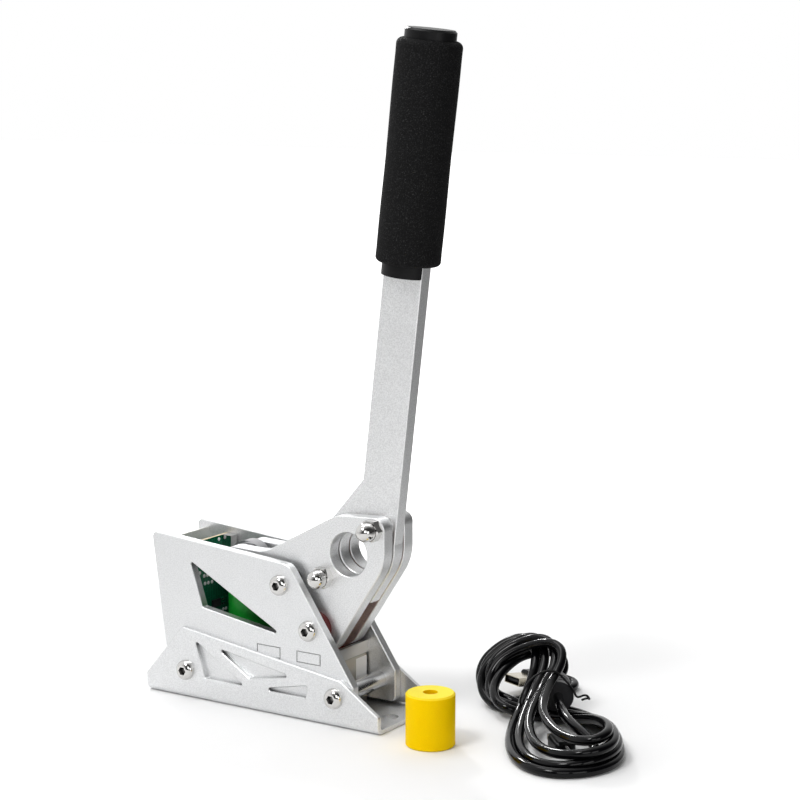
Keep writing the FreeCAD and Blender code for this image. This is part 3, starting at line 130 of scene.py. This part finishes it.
class Look:
    """One node material: a shader and the helpers that feed its sockets."""

    def __init__(self, name, colour, roughness, metallic=0.0, **extra):
        self.material = bpy.data.materials.new(name)
        self.material.use_nodes = True
        self.tree = self.material.node_tree
        self.shader = self.tree.nodes["Principled BSDF"]
        self.set("Base Color", (*colour, 1.0))
        self.set("Roughness", roughness)
        self.set("Metallic", metallic)
        for words, value in extra.items():
            self.set(words.replace("_", " ").title().replace("Ior", "IOR"), value)
        self.coordinates = self.add("ShaderNodeTexCoord").outputs["Object"]
        self.height = None

    def set(self, socket, value):
        """Set one of the shader's own sockets."""
        self.shader.inputs[socket].default_value = value

    def add(self, kind, **values):
        """A new node; each value is one of its settings or else an input socket."""
        node = self.tree.nodes.new(kind)
        for name, value in values.items():
            if hasattr(node, name):
                setattr(node, name, value)
            else:
                node.inputs[name.replace("_", " ").title()].default_value = value
        return node

    def link(self, start, end):
        self.tree.links.new(start, end)

    def stretched(self, scale, turn=(0, 0, 0)):
        """Object coordinates, turned and scaled, in cells per metre."""
        mapping = self.add("ShaderNodeMapping")
        mapping.inputs["Rotation"].default_value = turn
        mapping.inputs["Scale"].default_value = scale
        self.link(self.coordinates, mapping.inputs["Vector"])
        return mapping.outputs["Vector"]

    def noise(self, scale, detail=3.0, roughness=0.55, turn=(0, 0, 0)):
        """Noise with cells of 1 / scale metres; scale may differ along X, Y and Z."""
        if isinstance(scale, (int, float)):
            scale = (scale, scale, scale)
        texture = self.add("ShaderNodeTexNoise", scale=1.0, detail=detail, roughness=roughness)
        self.link(self.stretched(scale, turn), texture.inputs["Vector"])
        return texture.outputs["Fac"]

    def ramp(self, value, stops):
        """Map a value to colours or greys at the given positions."""
        ramp = self.add("ShaderNodeValToRGB")
        elements = ramp.color_ramp.elements
        while len(elements) < len(stops):
            elements.new(1.0)
        for element, (position, colour) in zip(elements, stops):
            element.position = position
            if isinstance(colour, (int, float)):
                colour = (colour, colour, colour)
            element.color = (*colour, 1.0)
        self.link(value, ramp.inputs["Fac"])
        return ramp.outputs["Color"]

    def blend(self, factor, first, second, mode="MIX"):
        """Mix two colours; each of the three may be a value or another node's output."""
        mix = self.add("ShaderNodeMix", data_type="RGBA", blend_type=mode)
        for socket, value in ((0, factor), (6, first), (7, second)):
            if isinstance(value, bpy.types.NodeSocket):
                self.link(value, mix.inputs[socket])
            elif socket == 0:
                mix.inputs[socket].default_value = value
            else:
                mix.inputs[socket].default_value = (*value, 1.0)
        return mix.outputs[2]

    def paint(self, colour):
        """Feed the shader's colour."""
        self.link(colour, self.shader.inputs["Base Color"])

    def mottle(self, value, low, high):
        """Vary the roughness between two values."""
        spread = self.add("ShaderNodeMapRange")
        spread.inputs["To Min"].default_value = low
        spread.inputs["To Max"].default_value = high
        self.link(value, spread.inputs["Value"])
        self.link(spread.outputs["Result"], self.shader.inputs["Roughness"])

    def bump(self, value, distance, strength=1.0):
        """Raise the surface by a value times a distance in metres; layers add up."""
        node = self.add("ShaderNodeBump", strength=strength, distance=distance)
        self.link(value, node.inputs["Height"])
        if self.height is not None:
            self.link(self.height, node.inputs["Normal"])
        self.height = node.outputs["Normal"]
        self.link(self.height, self.shader.inputs["Normal"])
        return self

    def painted_hollow_shade(self, colour, depth, stops):
        """Painted shade: darken a colour where the piece's own faces close round a point within a depth in
        metres, as shade in recesses and corners.
        """
        open_air = self.add("ShaderNodeAmbientOcclusion", samples=6, only_local=True, distance=depth)
        return self.blend(1.0, colour, self.ramp(open_air.outputs["AO"], stops), "MULTIPLY")

    def gap_reflection_mask(self, half_width, rear):
        """One in the object's middle, within half a width in metres and before rear, else nothing; it places
        the painted gap reflection.
        """
        parts = self.add("ShaderNodeSeparateXYZ")
        self.link(self.coordinates, parts.inputs["Vector"])
        inside = self.add("ShaderNodeMath", operation="COMPARE")
        self.link(parts.outputs["Y"], inside.inputs[0])
        inside.inputs[1].default_value = 0.0
        inside.inputs[2].default_value = half_width
        before = self.add("ShaderNodeMath", operation="GREATER_THAN")
        self.link(parts.outputs["X"], before.inputs[0])
        before.inputs[1].default_value = rear
        both = self.add("ShaderNodeMath", operation="MULTIPLY")
        self.link(inside.outputs[0], both.inputs[0])
        self.link(before.outputs[0], both.inputs[1])
        return both.outputs[0]

    def facing(self, axis):
        """How much the surface faces along one axis, either way, in the object's own frame."""
        normal = self.add("ShaderNodeTexCoord").outputs["Normal"]
        parts = self.add("ShaderNodeSeparateXYZ")
        self.link(normal, parts.inputs["Vector"])
        size = self.add("ShaderNodeMath", operation="ABSOLUTE")
        self.link(parts.outputs[axis], size.inputs[0])
        return size.outputs[0]


def shade(colour, factor):
    """A colour made lighter or darker."""
    return tuple(min(1.0, part * factor) for part in colour)


# painted reddish reflection of the red parts with painted shade, for the inner faces in the gap between the
# cheeks
PAINTED_GAP_REFLECTION = (1.0, 0.83, 0.78)


def anodised(name, colour=(0.775, 0.782, 0.788), speckle=0.12, metal=0.95, painted_gap_reflection=None):
    """Bead-blasted aluminium under a clear anodised skin, with painted shade in its recesses and a painted
    reddish reflection with painted shade inside a gap at the front.
    """
    look = Look(name, colour, 0.42, metal)
    broad = look.noise(30, 2)
    grain = look.noise(1900, 2)
    fine = look.noise(5200, 2)
    spots = look.ramp(grain, ((0.32, 0.0), (0.68, 1.0)))
    skin = look.blend(spots, shade(colour, 1 - speckle), shade(colour, 1 + 0.6 * speckle))
    # painted reddish reflection and painted shade on the inner faces in the gap
    if painted_gap_reflection:
        skin = look.blend(look.gap_reflection_mask(*painted_gap_reflection), skin, PAINTED_GAP_REFLECTION, "MULTIPLY")
    # painted shade in recesses and corners
    look.paint(look.painted_hollow_shade(skin, 0.008, ((0.45, 0.25), (0.62, 0.36), (0.92, 1.0))))
    look.mottle(look.blend(0.5, broad, fine), 0.33, 0.49)
    look.bump(grain, 0.00005, 0.5).bump(fine, 0.00002, 0.35).bump(broad, 0.0002, 0.08)
    return look.material


def machined(name, colour=(0.78, 0.78, 0.78), lines=(60, 5000, 5000), roughness=(0.22, 0.42)):
    """Cut metal with fine parallel tool lines."""
    look = Look(name, colour, 0.3, 1.0)
    marks = look.noise(lines, 3, 0.7)
    stains = look.noise(45, 2)
    look.paint(look.blend(look.ramp(stains, ((0.35, 0.0), (0.65, 1.0))), shade(colour, 0.93), colour))
    look.mottle(marks, *roughness)
    look.bump(marks, 0.00002, 0.35)
    return look.material


def polished(name, colour=(0.66, 0.65, 0.635)):
    """Bright stainless fasteners with the faintest handling marks and painted shade in their sockets."""
    look = Look(name, colour, 0.06, 1.0)
    smears = look.noise(420, 4, 0.6)
    scratches = look.noise((9000, 700, 2500), 2, turn=(0.4, 0.9, 0.2))
    skin = look.blend(smears, shade(colour, 0.97), colour)
    # painted shade in the sockets and other recesses
    look.paint(look.painted_hollow_shade(skin, 0.004, ((0.4, 0.06), (0.8, 1.0))))
    look.mottle(look.blend(0.35, smears, scratches), 0.03, 0.11)
    look.bump(scratches, 0.000004, 0.3)
    return look.material


def rubber(name, colour, roughness=(0.38, 0.55), grain=2600, glow=0.0, gloss=0.3, ends=None):
    """Cast or cut elastomer; glow is how much light gets into it, ends a lighter colour painted on its flat
    ends as painted top light.
    """
    look = Look(name, colour, 0.45, 0.0, specular_ior_level=gloss)
    if glow:
        look.set("Subsurface Weight", glow)
        look.set("Subsurface Radius", (0.6, 0.4, 0.15))
        look.set("Subsurface Scale", 0.004)
    fine = look.noise(grain, 3)
    rings = look.noise((60, 60, 2200), 2)
    grains = look.ramp(fine, ((0.25, 0.0), (0.75, 1.0)))
    skin = look.blend(grains, shade(colour, 0.93), shade(colour, 1.04))
    # painted top light: the flat ends lighter than the sides
    if ends:
        painted_end_light = look.ramp(look.facing("Z"), ((0.5, 0.0), (0.95, 1.0)))
        skin = look.blend(painted_end_light, skin, look.blend(grains, shade(ends, 0.95), ends))
    look.paint(skin)
    look.mottle(look.blend(0.5, fine, rings), *roughness)
    look.bump(fine, 0.00002, 0.3).bump(rings, 0.00003, 0.25)
    return look.material


def foam(name):
    """Closed-cell sponge: black, with fine pores and pale specks where the cells are cut."""
    look = Look(name, (0.004, 0.004, 0.0042), 0.8, 0.0, specular_ior_level=0.12)
    cells = look.add("ShaderNodeTexVoronoi", scale=1.0)
    look.link(look.stretched((1900, 1900, 1900)), cells.inputs["Vector"])
    pores = look.ramp(cells.outputs["Distance"], ((0.05, 0.0), (0.55, 1.0)))
    specks = look.ramp(look.noise(2000, 2), ((0.55, 0.0), (0.7, 1.0)))
    broad = look.noise(120, 3)
    base = look.blend(broad, (0.0022, 0.0022, 0.0024), (0.005, 0.005, 0.0053))
    look.paint(look.blend(specks, base, (0.03, 0.03, 0.0305)))
    look.mottle(broad, 0.7, 0.88)
    look.bump(pores, 0.00016, 0.8).bump(broad, 0.0003, 0.25)
    return look.material


def plastic(name, colour, roughness=(0.3, 0.42), grain=1700, gloss=0.5):
    """Moulded plastic with a fine spark-eroded texture."""
    look = Look(name, colour, 0.35, 0.0, specular_ior_level=gloss)
    texture = look.noise(grain, 3)
    broad = look.noise(60, 2)
    look.paint(look.blend(broad, shade(colour, 0.85), shade(colour, 1.15)))
    look.mottle(texture, *roughness)
    look.bump(texture, 0.00002, 0.4)
    return look.material


def circuit_board(name):
    """Green solder mask over copper tracks on the broad faces, bare glass fibre on the edges."""
    mask = (0.002, 0.11, 0.05)
    look = Look(name, mask, 0.3, 0.0, specular_ior_level=0.1)
    tracks = look.add("ShaderNodeTexBrick", scale=1.0, mortar_size=0.06, brick_width=2.6, row_height=0.9,
                      offset=0.37)
    look.link(look.stretched((500, 430, 430), (0, math.radians(90), 0)), tracks.inputs["Vector"])
    weave = look.noise((300, 3200, 3200), 2)
    raised = look.ramp(tracks.outputs["Fac"], ((0.35, 0.0), (0.65, 1.0)))
    face = look.blend(raised, look.blend(weave, shade(mask, 0.8), shade(mask, 1.15)), (0.008, 0.2, 0.095))
    edge = look.blend(weave, (0.62, 0.5, 0.3), (0.78, 0.68, 0.46))
    broad_side = look.ramp(look.facing("X"), ((0.4, 0.0), (0.6, 1.0)))
    look.paint(look.blend(broad_side, edge, face))
    look.bump(raised, 0.00003, 0.5).bump(weave, 0.00001, 0.3)
    return look.material


def sintered(name):
    """Oily porous bronze."""
    look = Look(name, (0.45, 0.27, 0.12), 0.4, 0.95)
    pores = look.noise(4200, 3)
    look.paint(look.blend(look.ramp(pores, ((0.4, 0.0), (0.6, 1.0))), (0.22, 0.12, 0.05), (0.5, 0.31, 0.14)))
    look.mottle(pores, 0.3, 0.55)
    look.bump(pores, 0.00003, 0.4)
    return look.material


def blank_film(name):
    """A plain white sticker with a little dust in its skin."""
    look = Look(name, (0.93, 0.93, 0.92), 0.4)
    fibres = look.noise((2000, 900, 2600), 3)
    look.paint(look.blend(fibres, (0.9, 0.9, 0.885), (0.96, 0.96, 0.95)))
    look.mottle(fibres, 0.34, 0.5)
    look.bump(fibres, 0.00001, 0.3)
    return look.material


ALUMINIUM = anodised("anodised_aluminium")
LEVER_SKIN = anodised("lever_aluminium", (0.79, 0.796, 0.8), 0.17)
# the cheeks' inner faces at the front carry a painted reddish reflection with painted shade
CHEEK_SKIN = anodised("cheek_aluminium", (0.79, 0.796, 0.8), 0.17, painted_gap_reflection=(0.00525, 0.018))
PANEL_SKIN = anodised("panel_aluminium", (0.8, 0.79, 0.76), metal=0.3)
CUT_X = machined("machined_aluminium")
CELL_SKIN = machined("cell_aluminium", (0.6, 0.58, 0.53))
TURNED = machined("turned_aluminium", (0.7, 0.7, 0.7), (4200, 40, 4200), (0.14, 0.28))
TURNED_UP = machined("turned_on_end", lines=(300, 300, 5200))
GROUND_STEEL = machined("ground_steel", (0.6, 0.6, 0.6), (3000, 30, 3000), (0.14, 0.3))
DARK_STEEL = machined("bearing_steel", (0.5, 0.5, 0.51), (2600, 900, 2600), (0.12, 0.26))
BRIGHT = polished("polished_stainless")
ZINC = machined("zinc_plate", (0.68, 0.69, 0.7), (1500, 1500, 1500), (0.2, 0.36))
BRONZE = sintered("sintered_bronze")
RED = rubber("red_rubber", (0.23, 0.012, 0.014))
DARK_RED = rubber("washer_fibre", (0.085, 0.008, 0.008), (0.5, 0.7))
GREEN = rubber("green_elastomer", (0.006, 0.25, 0.022), (0.28, 0.45), glow=0.12)
# flat ends painted a lighter lemon as painted top light
YELLOW = rubber("yellow_elastomer", (0.9, 0.59, 0.0), (0.35, 0.5), glow=0.3, gloss=0.03,
                ends=(1.0, 0.8, 0.06))
BLACK_RUBBER = rubber("black_rubber", (0.018, 0.018, 0.018), (0.5, 0.7))
FOAM = foam("sponge_foam")
GRIP_PLASTIC = plastic("grip_plastic", (0.006, 0.006, 0.0065), gloss=0.14)
CHIP_PLASTIC = plastic("chip_plastic", (0.022, 0.022, 0.024), (0.4, 0.6), 3200)
JACKET = plastic("lead_jacket", (0.0012, 0.0012, 0.0017), (0.09, 0.16), 900, 0.21)
FERRITE_SKIN = plastic("ferrite_skin", (0.016, 0.016, 0.018), (0.32, 0.46), 2200, 0.5)
TIE_SKIN = plastic("tie_skin", (0.004, 0.004, 0.0045), (0.35, 0.5), 2600, 0.2)
PLUG_PLASTIC = plastic("plug_plastic", (0.004, 0.004, 0.0045), (0.24, 0.38), 2200, 0.25)
NICKEL = machined("nickel_shell", (0.62, 0.57, 0.46), (2400, 2400, 900), (0.16, 0.32))
WIRE_JACKET = plastic("wire_jacket", (0.02, 0.02, 0.021), (0.25, 0.4), 900)
BOARD = circuit_board("green_board")
LABEL = blank_film("blank_label")
SOLDER = plastic("solder", (0.9, 0.9, 0.87), (0.15, 0.3), 900, 0.8)

NODE_LOOKS = {
    "base_channel": ALUMINIUM, "side_plate_right": ALUMINIUM, "side_plate_left": ALUMINIUM,
    "rear_panel": PANEL_SKIN, "front_standoff": TURNED, "rear_standoff": TURNED,
    "pivot_tube": GROUND_STEEL, "stop_tube": GROUND_STEEL, "stop_sleeves": BLACK_RUBBER,
    "thrust_washers": DARK_RED, "flange_screws": BRIGHT, "plate_screws": BRIGHT, "load_cell": CELL_SKIN,
    "cell_spacer": CELL_SKIN, "cell_screws": DARK_STEEL, "cell_label": LABEL, "rest_bar": CUT_X,
    "rest_bar_screws": DARK_STEEL, "rest_pad": RED, "elastomer_seat": TURNED_UP, "elastomer": GREEN,
    "plunger": TURNED_UP, "spare_elastomer": YELLOW, "cheek_plate_right": CHEEK_SKIN,
    "cheek_plate_left": CHEEK_SKIN, "lever_bar": LEVER_SKIN, "cheek_bolts": BRIGHT, "dome_nuts": BRIGHT,
    "cheek_shims": GROUND_STEEL, "pivot_bushes": BRONZE, "pivot_spacer": TURNED,
    "roller_outer_ring": DARK_STEEL, "roller_inner_ring": DARK_STEEL, "roller_seals": BLACK_RUBBER,
    "roller_spacers": GROUND_STEEL, "roller_pin": GROUND_STEEL, "roller_clips": DARK_STEEL,
    "grip_core_right": GRIP_PLASTIC, "grip_core_left": GRIP_PLASTIC, "grip_screws": DARK_STEEL,
    "grip_cap": GRIP_PLASTIC, "controller_board": BOARD, "board_posts": ZINC, "board_screws": ZINC,
    "usb_socket": ZINC, "usb_tongue": CHIP_PLASTIC, "board_chips": CHIP_PLASTIC,
    "board_passives": ZINC, "board_connector": BRIGHT, "cell_wire": WIRE_JACKET,
    "ferrite_core": FERRITE_SKIN, "large_plug": PLUG_PLASTIC, "small_plug": PLUG_PLASTIC,
    "large_plug_shell": NICKEL, "small_plug_shell": NICKEL,
}


def dress_nodes():
    """Give each CAD node in the table its material."""
    for name, material in NODE_LOOKS.items():
        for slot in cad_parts[name].material_slots:
            slot.material = material


# pieces

def new_piece(name, data, material, body):
    """A mesh or curve as an object that rides on a body."""
    data.materials.append(material)
    piece = bpy.data.objects.new(name, data)
    bpy.context.scene.collection.objects.link(piece)
    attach(piece, body)
    return piece


def finished_mesh(name, work, smooth=True):
    """A finished bmesh as a mesh."""
    mesh = bpy.data.meshes.new(name)
    work.to_mesh(mesh)
    work.free()
    if smooth:
        mesh.shade_smooth()
    return mesh


def lathe(name, outline, place, sides=96):
    """A closed ring turned about an axis; outline holds (radius, height) pairs."""
    work = bmesh.new()
    rings = []
    for i in range(sides):
        angle = 2 * math.pi * i / sides
        rings.append([work.verts.new(place @ Vector((r * math.cos(angle), r * math.sin(angle), h)))
                      for r, h in outline])
    count = len(outline)
    for i in range(sides):
        here, there = rings[i], rings[(i + 1) % sides]
        for j in range(count):
            work.faces.new((here[j], there[j], there[(j + 1) % count], here[(j + 1) % count]))
    bmesh.ops.recalc_face_normals(work, faces=work.faces)
    return finished_mesh(name, work)


def arc(centre, radius, start, end, steps):
    """Points on an arc in an outline's plane, angles in degrees."""
    points = []
    for i in range(steps + 1):
        angle = math.radians(start + (end - start) * i / steps)
        points.append((centre[0] + radius * math.cos(angle), centre[1] + radius * math.sin(angle)))
    return points


FOAM_GAP = 0.0001
FOAM_BORE = 0.0127
FOAM_BORE_BEVEL = 0.0006
FOAM_BORE_STEP = 0.0004
FOAM_TOP_RIM = 0.0032
FOAM_FOOT_RIM = 0.0022
FOAM_SWELL = 0.00012
FOAM_WAVES = 3.0
FOAM_RINGS = 24
FOAM_SIDES = 128


def foam_sleeve():
    """The sponge grip: a thick tube with soft ends that swells a little over its length."""
    low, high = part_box("foam_grip")
    outer = (high[1] - low[1]) / 2 - FOAM_GAP
    tilt = Matrix.Rotation(LEVER_LEAN, 4, "Y")
    length = (high[2] - low[2] - 2 * outer * math.sin(LEVER_LEAN)) / math.cos(LEVER_LEAN)
    middle = Vector(((low[0] + high[0]) / 2, 0, (low[2] + high[2]) / 2))
    place = Matrix.Translation(middle) @ tilt @ Matrix.Translation((0, 0, -length / 2))
    outline = [(FOAM_BORE, FOAM_BORE_STEP), (FOAM_BORE + FOAM_BORE_BEVEL, 0.0)]
    outline += arc((outer - FOAM_FOOT_RIM, FOAM_FOOT_RIM), FOAM_FOOT_RIM, -90, 0, 8)
    for i in range(1, FOAM_RINGS):
        share = i / FOAM_RINGS
        swell = FOAM_SWELL * math.sin(share * math.pi * FOAM_WAVES)
        height = FOAM_FOOT_RIM + (length - FOAM_FOOT_RIM - FOAM_TOP_RIM) * share
        outline.append((outer - FOAM_SWELL + swell, height))
    outline += arc((outer - FOAM_TOP_RIM, length - FOAM_TOP_RIM), FOAM_TOP_RIM, 0, 90, 10)
    outline += [(FOAM_BORE + FOAM_BORE_BEVEL, length), (FOAM_BORE, length - FOAM_BORE_STEP)]
    mesh = lathe("foam_sleeve", outline, place, FOAM_SIDES)
    piece = new_piece("foam_sleeve", mesh, FOAM, "lever")
    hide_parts("foam_grip")


CORE_HIDDEN = 0.001
WELD_DISTANCE = 1e-6


def far_core_half():
    """The far half of the grip's core, cut off just inside the foam."""
    low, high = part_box("foam_grip")
    axis = Vector((math.sin(LEVER_LEAN), 0, math.cos(LEVER_LEAN)))
    radius = (high[1] - low[1]) / 2
    foot = Vector((low[0] + radius * math.cos(LEVER_LEAN), 0,
                   low[2] + radius * math.sin(LEVER_LEAN)))
    work = bmesh.new()
    work.from_mesh(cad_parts["grip_core_left"].data)
    bmesh.ops.remove_doubles(work, verts=work.verts, dist=WELD_DISTANCE)
    bmesh.ops.bisect_plane(work, geom=work.verts[:] + work.edges[:] + work.faces[:],
                           plane_co=foot + axis * CORE_HIDDEN, plane_no=axis, clear_inner=True)
    bmesh.ops.holes_fill(work, edges=[edge for edge in work.edges if edge.is_boundary])
    bmesh.ops.recalc_face_normals(work, faces=work.faces)
    mesh = finished_mesh("far_core_half", work, smooth=False)
    piece = new_piece("far_core_half", mesh, GRIP_PLASTIC, "lever")
    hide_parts("grip_core_left")


COLUMN_BORE = 0.0036
COLUMN_RIM = 0.0006
COLUMN_RINGS = 8


def pressed_column():
    """The soft column under the plunger: a ring with soft rims, given a mesh of its own."""
    low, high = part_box("elastomer")
    radius, height = (high[0] - low[0]) / 2, high[2] - low[2]
    outline = [(COLUMN_BORE, 0.0)]
    outline += arc((radius - COLUMN_RIM, COLUMN_RIM), COLUMN_RIM, -90, 0, 5)
    outline += [(radius, height * i / COLUMN_RINGS) for i in range(1, COLUMN_RINGS)]
    outline += arc((radius - COLUMN_RIM, height - COLUMN_RIM), COLUMN_RIM, 0, 90, 5)
    outline += [(COLUMN_BORE, height)]
    place = Matrix.Translation(((low[0] + high[0]) / 2, 0, low[2]))
    mesh = lathe("pressed_column", outline, place)
    piece = new_piece("pressed_column", mesh, GREEN, "base")
    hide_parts("elastomer")
    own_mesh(piece)


# solder joints: each place across the board and above its foot
DOT_RADIUS = 0.001
DOT_FLATNESS = 0.55
DOTS = [(-0.0087, 0.0391), (-0.0050, 0.0368), (-0.0022, 0.0367),
        (-0.0044, 0.0326), (-0.0016, 0.0325), (0.0015, 0.0324),
        (0.0109, 0.0155), (0.0132, 0.0155), (0.0080, 0.0541)]
DOTS += [(-0.0125 + 0.0028 * i, 0.0032) for i in range(5)]


def solder_dots():
    """Rounded joints of pins on the board's front face, in rows and a few pairs."""
    low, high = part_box("controller_board")
    flat = Matrix.Diagonal((DOT_FLATNESS, 1, 1, 1))
    work = bmesh.new()
    for y, height in DOTS:
        centre = Matrix.Translation((high[0], y, low[2] + height)) @ flat
        bmesh.ops.create_icosphere(work, subdivisions=3, radius=DOT_RADIUS, matrix=centre)
    new_piece("solder_dots", finished_mesh("solder_dots", work), SOLDER, "base")


# lead

def lead_point(point):
    """A point of the tied lead's own frame, in millimetres, as a place in the scene."""
    return (LEAD_TURN @ Vector(point) + LEAD_PLACE) / 1000


def curve_piece(name, points, radius, material):
    """A round cord along one smooth spline."""
    data = bpy.data.curves.new(name, "CURVE")
    data.dimensions = "3D"
    data.bevel_depth = radius
    data.bevel_resolution = 6
    data.resolution_u = 10
    data.use_fill_caps = True
    spline = data.splines.new("NURBS")
    spline.points.add(len(points) - 1)
    for spot, point in zip(spline.points, points):
        spot.co = (*point, 1.0)
    spline.order_u = 3
    spline.use_endpoint_u = True
    return new_piece(name, data, material, "base")


TIE_RADIUS = 0.00055
TIE_ROUTE = (
    (20.5, -6.0, 11.5), (23.0, -7.5, 13.2), (24.6, -7.0, 12.0), (22.5, -6.0, 14.6),
    (18.0, -5.0, 12.0), (16.5, -4.0, 16.0), (12.0, -3.6, 21.5), (7.0, -3.4, 26.2),
    (0.0, -4.2, 25.6), (-6.0, -6.0, 21.5), (-9.5, -9.0, 16.0), (-11.0, -8.0, 10.5),
    (-8.0, -4.0, 6.5), (4.0, 0.0, 5.2),
)


def lead():
    """The tied lead between its plugs, and the wire that ties it at the waist."""
    route = [lead_point(point) for point in LEAD_ROUTE]
    cord = curve_piece("lead", route, LEAD_WIDTH / 2000, JACKET)
    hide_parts("lead_hank")
    tie_route = [lead_point(point) for point in TIE_ROUTE]
    tie = curve_piece("lead_tie", tie_route, TIE_RADIUS, TIE_SKIN)


# studio and camera

def new_node(tree, kind, **settings):
    """A new node in the floor's or the world's tree."""
    node = tree.nodes.new(kind)
    for name, value in settings.items():
        setattr(node, name, value)
    return node


def along(tree, vector, axis):
    """How far a vector reaches along an axis."""
    product = new_node(tree, "ShaderNodeVectorMath", operation="DOT_PRODUCT")
    product.inputs[1].default_value = axis
    tree.links.new(vector, product.inputs[0])
    return product.outputs["Value"]


def smooth_range(tree, value, *numbers):
    """Map a value smoothly from one range to another."""
    node = new_node(tree, "ShaderNodeMapRange", interpolation_type="SMOOTHSTEP")
    for name, number in zip(("From Min", "From Max", "To Min", "To Max"), numbers):
        node.inputs[name].default_value = number
    tree.links.new(value, node.inputs["Value"])
    return node.outputs["Result"]


def combined(tree, operation, first, second):
    """One number made of two."""
    node = new_node(tree, "ShaderNodeMath", operation=operation)
    tree.links.new(first, node.inputs[0])
    tree.links.new(second, node.inputs[1])
    return node.outputs[0]


def floor_material():
    """Paper: whiter to the camera far from the object, darker in reflections far behind it."""
    material = bpy.data.materials.new("floor")
    material.use_nodes = True
    tree = material.node_tree
    shader = tree.nodes["Principled BSDF"]
    shader.inputs["Roughness"].default_value = 0.7
    shader.inputs["Specular IOR Level"].default_value = 0.2
    shader.inputs["Emission Color"].default_value = WHITE
    seen = new_node(tree, "ShaderNodeLightPath").outputs["Is Camera Ray"]
    place = new_node(tree, "ShaderNodeTexCoord").outputs["Object"]
    paper = smooth_range(tree, along(tree, place, PAPER_AXIS), *PAPER_GREY)
    colour = new_node(tree, "ShaderNodeMix", data_type="RGBA")
    colour.inputs[7].default_value = (FLOOR_GREY, FLOOR_GREY, FLOOR_GREY, 1)
    tree.links.new(seen, colour.inputs[0])
    tree.links.new(paper, colour.inputs[6])
    tree.links.new(colour.outputs[2], shader.inputs["Base Color"])
    reach = new_node(tree, "ShaderNodeVectorMath", operation="LENGTH")
    tree.links.new(place, reach.inputs[0])
    lift = smooth_range(tree, reach.outputs["Value"], *FLOOR_LIFT)
    tree.links.new(combined(tree, "MULTIPLY", seen, lift), shader.inputs["Emission Strength"])
    return material


def room():
    """A white backdrop to the camera, and a room bright on one side to what reflects it."""
    world = bpy.data.worlds.new("studio")
    bpy.context.scene.world = world
    world.use_nodes = True
    tree = world.node_tree
    background = tree.nodes["Background"]
    background.inputs["Color"].default_value = WHITE
    ray = new_node(tree, "ShaderNodeLightPath").outputs
    seen = combined(tree, "MAXIMUM", ray["Is Camera Ray"], ray["Is Transmission Ray"])
    direction = new_node(tree, "ShaderNodeTexCoord").outputs["Generated"]
    light = smooth_range(tree, along(tree, direction, BACKDROP), *ROOM_LIGHT)
    tree.links.new(combined(tree, "MAXIMUM", seen, light), background.inputs["Strength"])


def place_aimed(name, data, place, direction):
    """A lamp or camera at a place, turned along a direction."""
    item = bpy.data.objects.new(name, data)
    item.location = place
    item.rotation_euler = direction.to_track_quat("-Z", "Y").to_euler()
    bpy.context.scene.collection.objects.link(item)
    return item


def studio():
    """The floor, the room and the lamps."""
    bpy.ops.mesh.primitive_plane_add(size=FLOOR_SIZE)
    floor = bpy.context.object
    floor.name = "floor"
    floor.data.materials.append(floor_material())
    room()
    for name, place, power, size in LAMPS:
        lamp = bpy.data.lights.new(name, "AREA")
        lamp.energy = power
        lamp.size = size
        place_aimed(name, lamp, place, LAMP_TARGET - Vector(place))


def camera():
    """The camera that was fitted to the object."""
    data = bpy.data.cameras.new("camera")
    data.lens = CAMERA_LENS
    data.sensor_width = CAMERA_SENSOR
    data.clip_start = CAMERA_CLIP
    bpy.context.scene.camera = place_aimed("camera", data, CAMERA_PLACE, Vector(CAMERA_LOOK))


camera()
lead()
dress_nodes()
foam_sleeve()
far_core_half()
pressed_column()
solder_dots()
studio()
bpy.context.scene.view_settings.view_transform = "Standard"
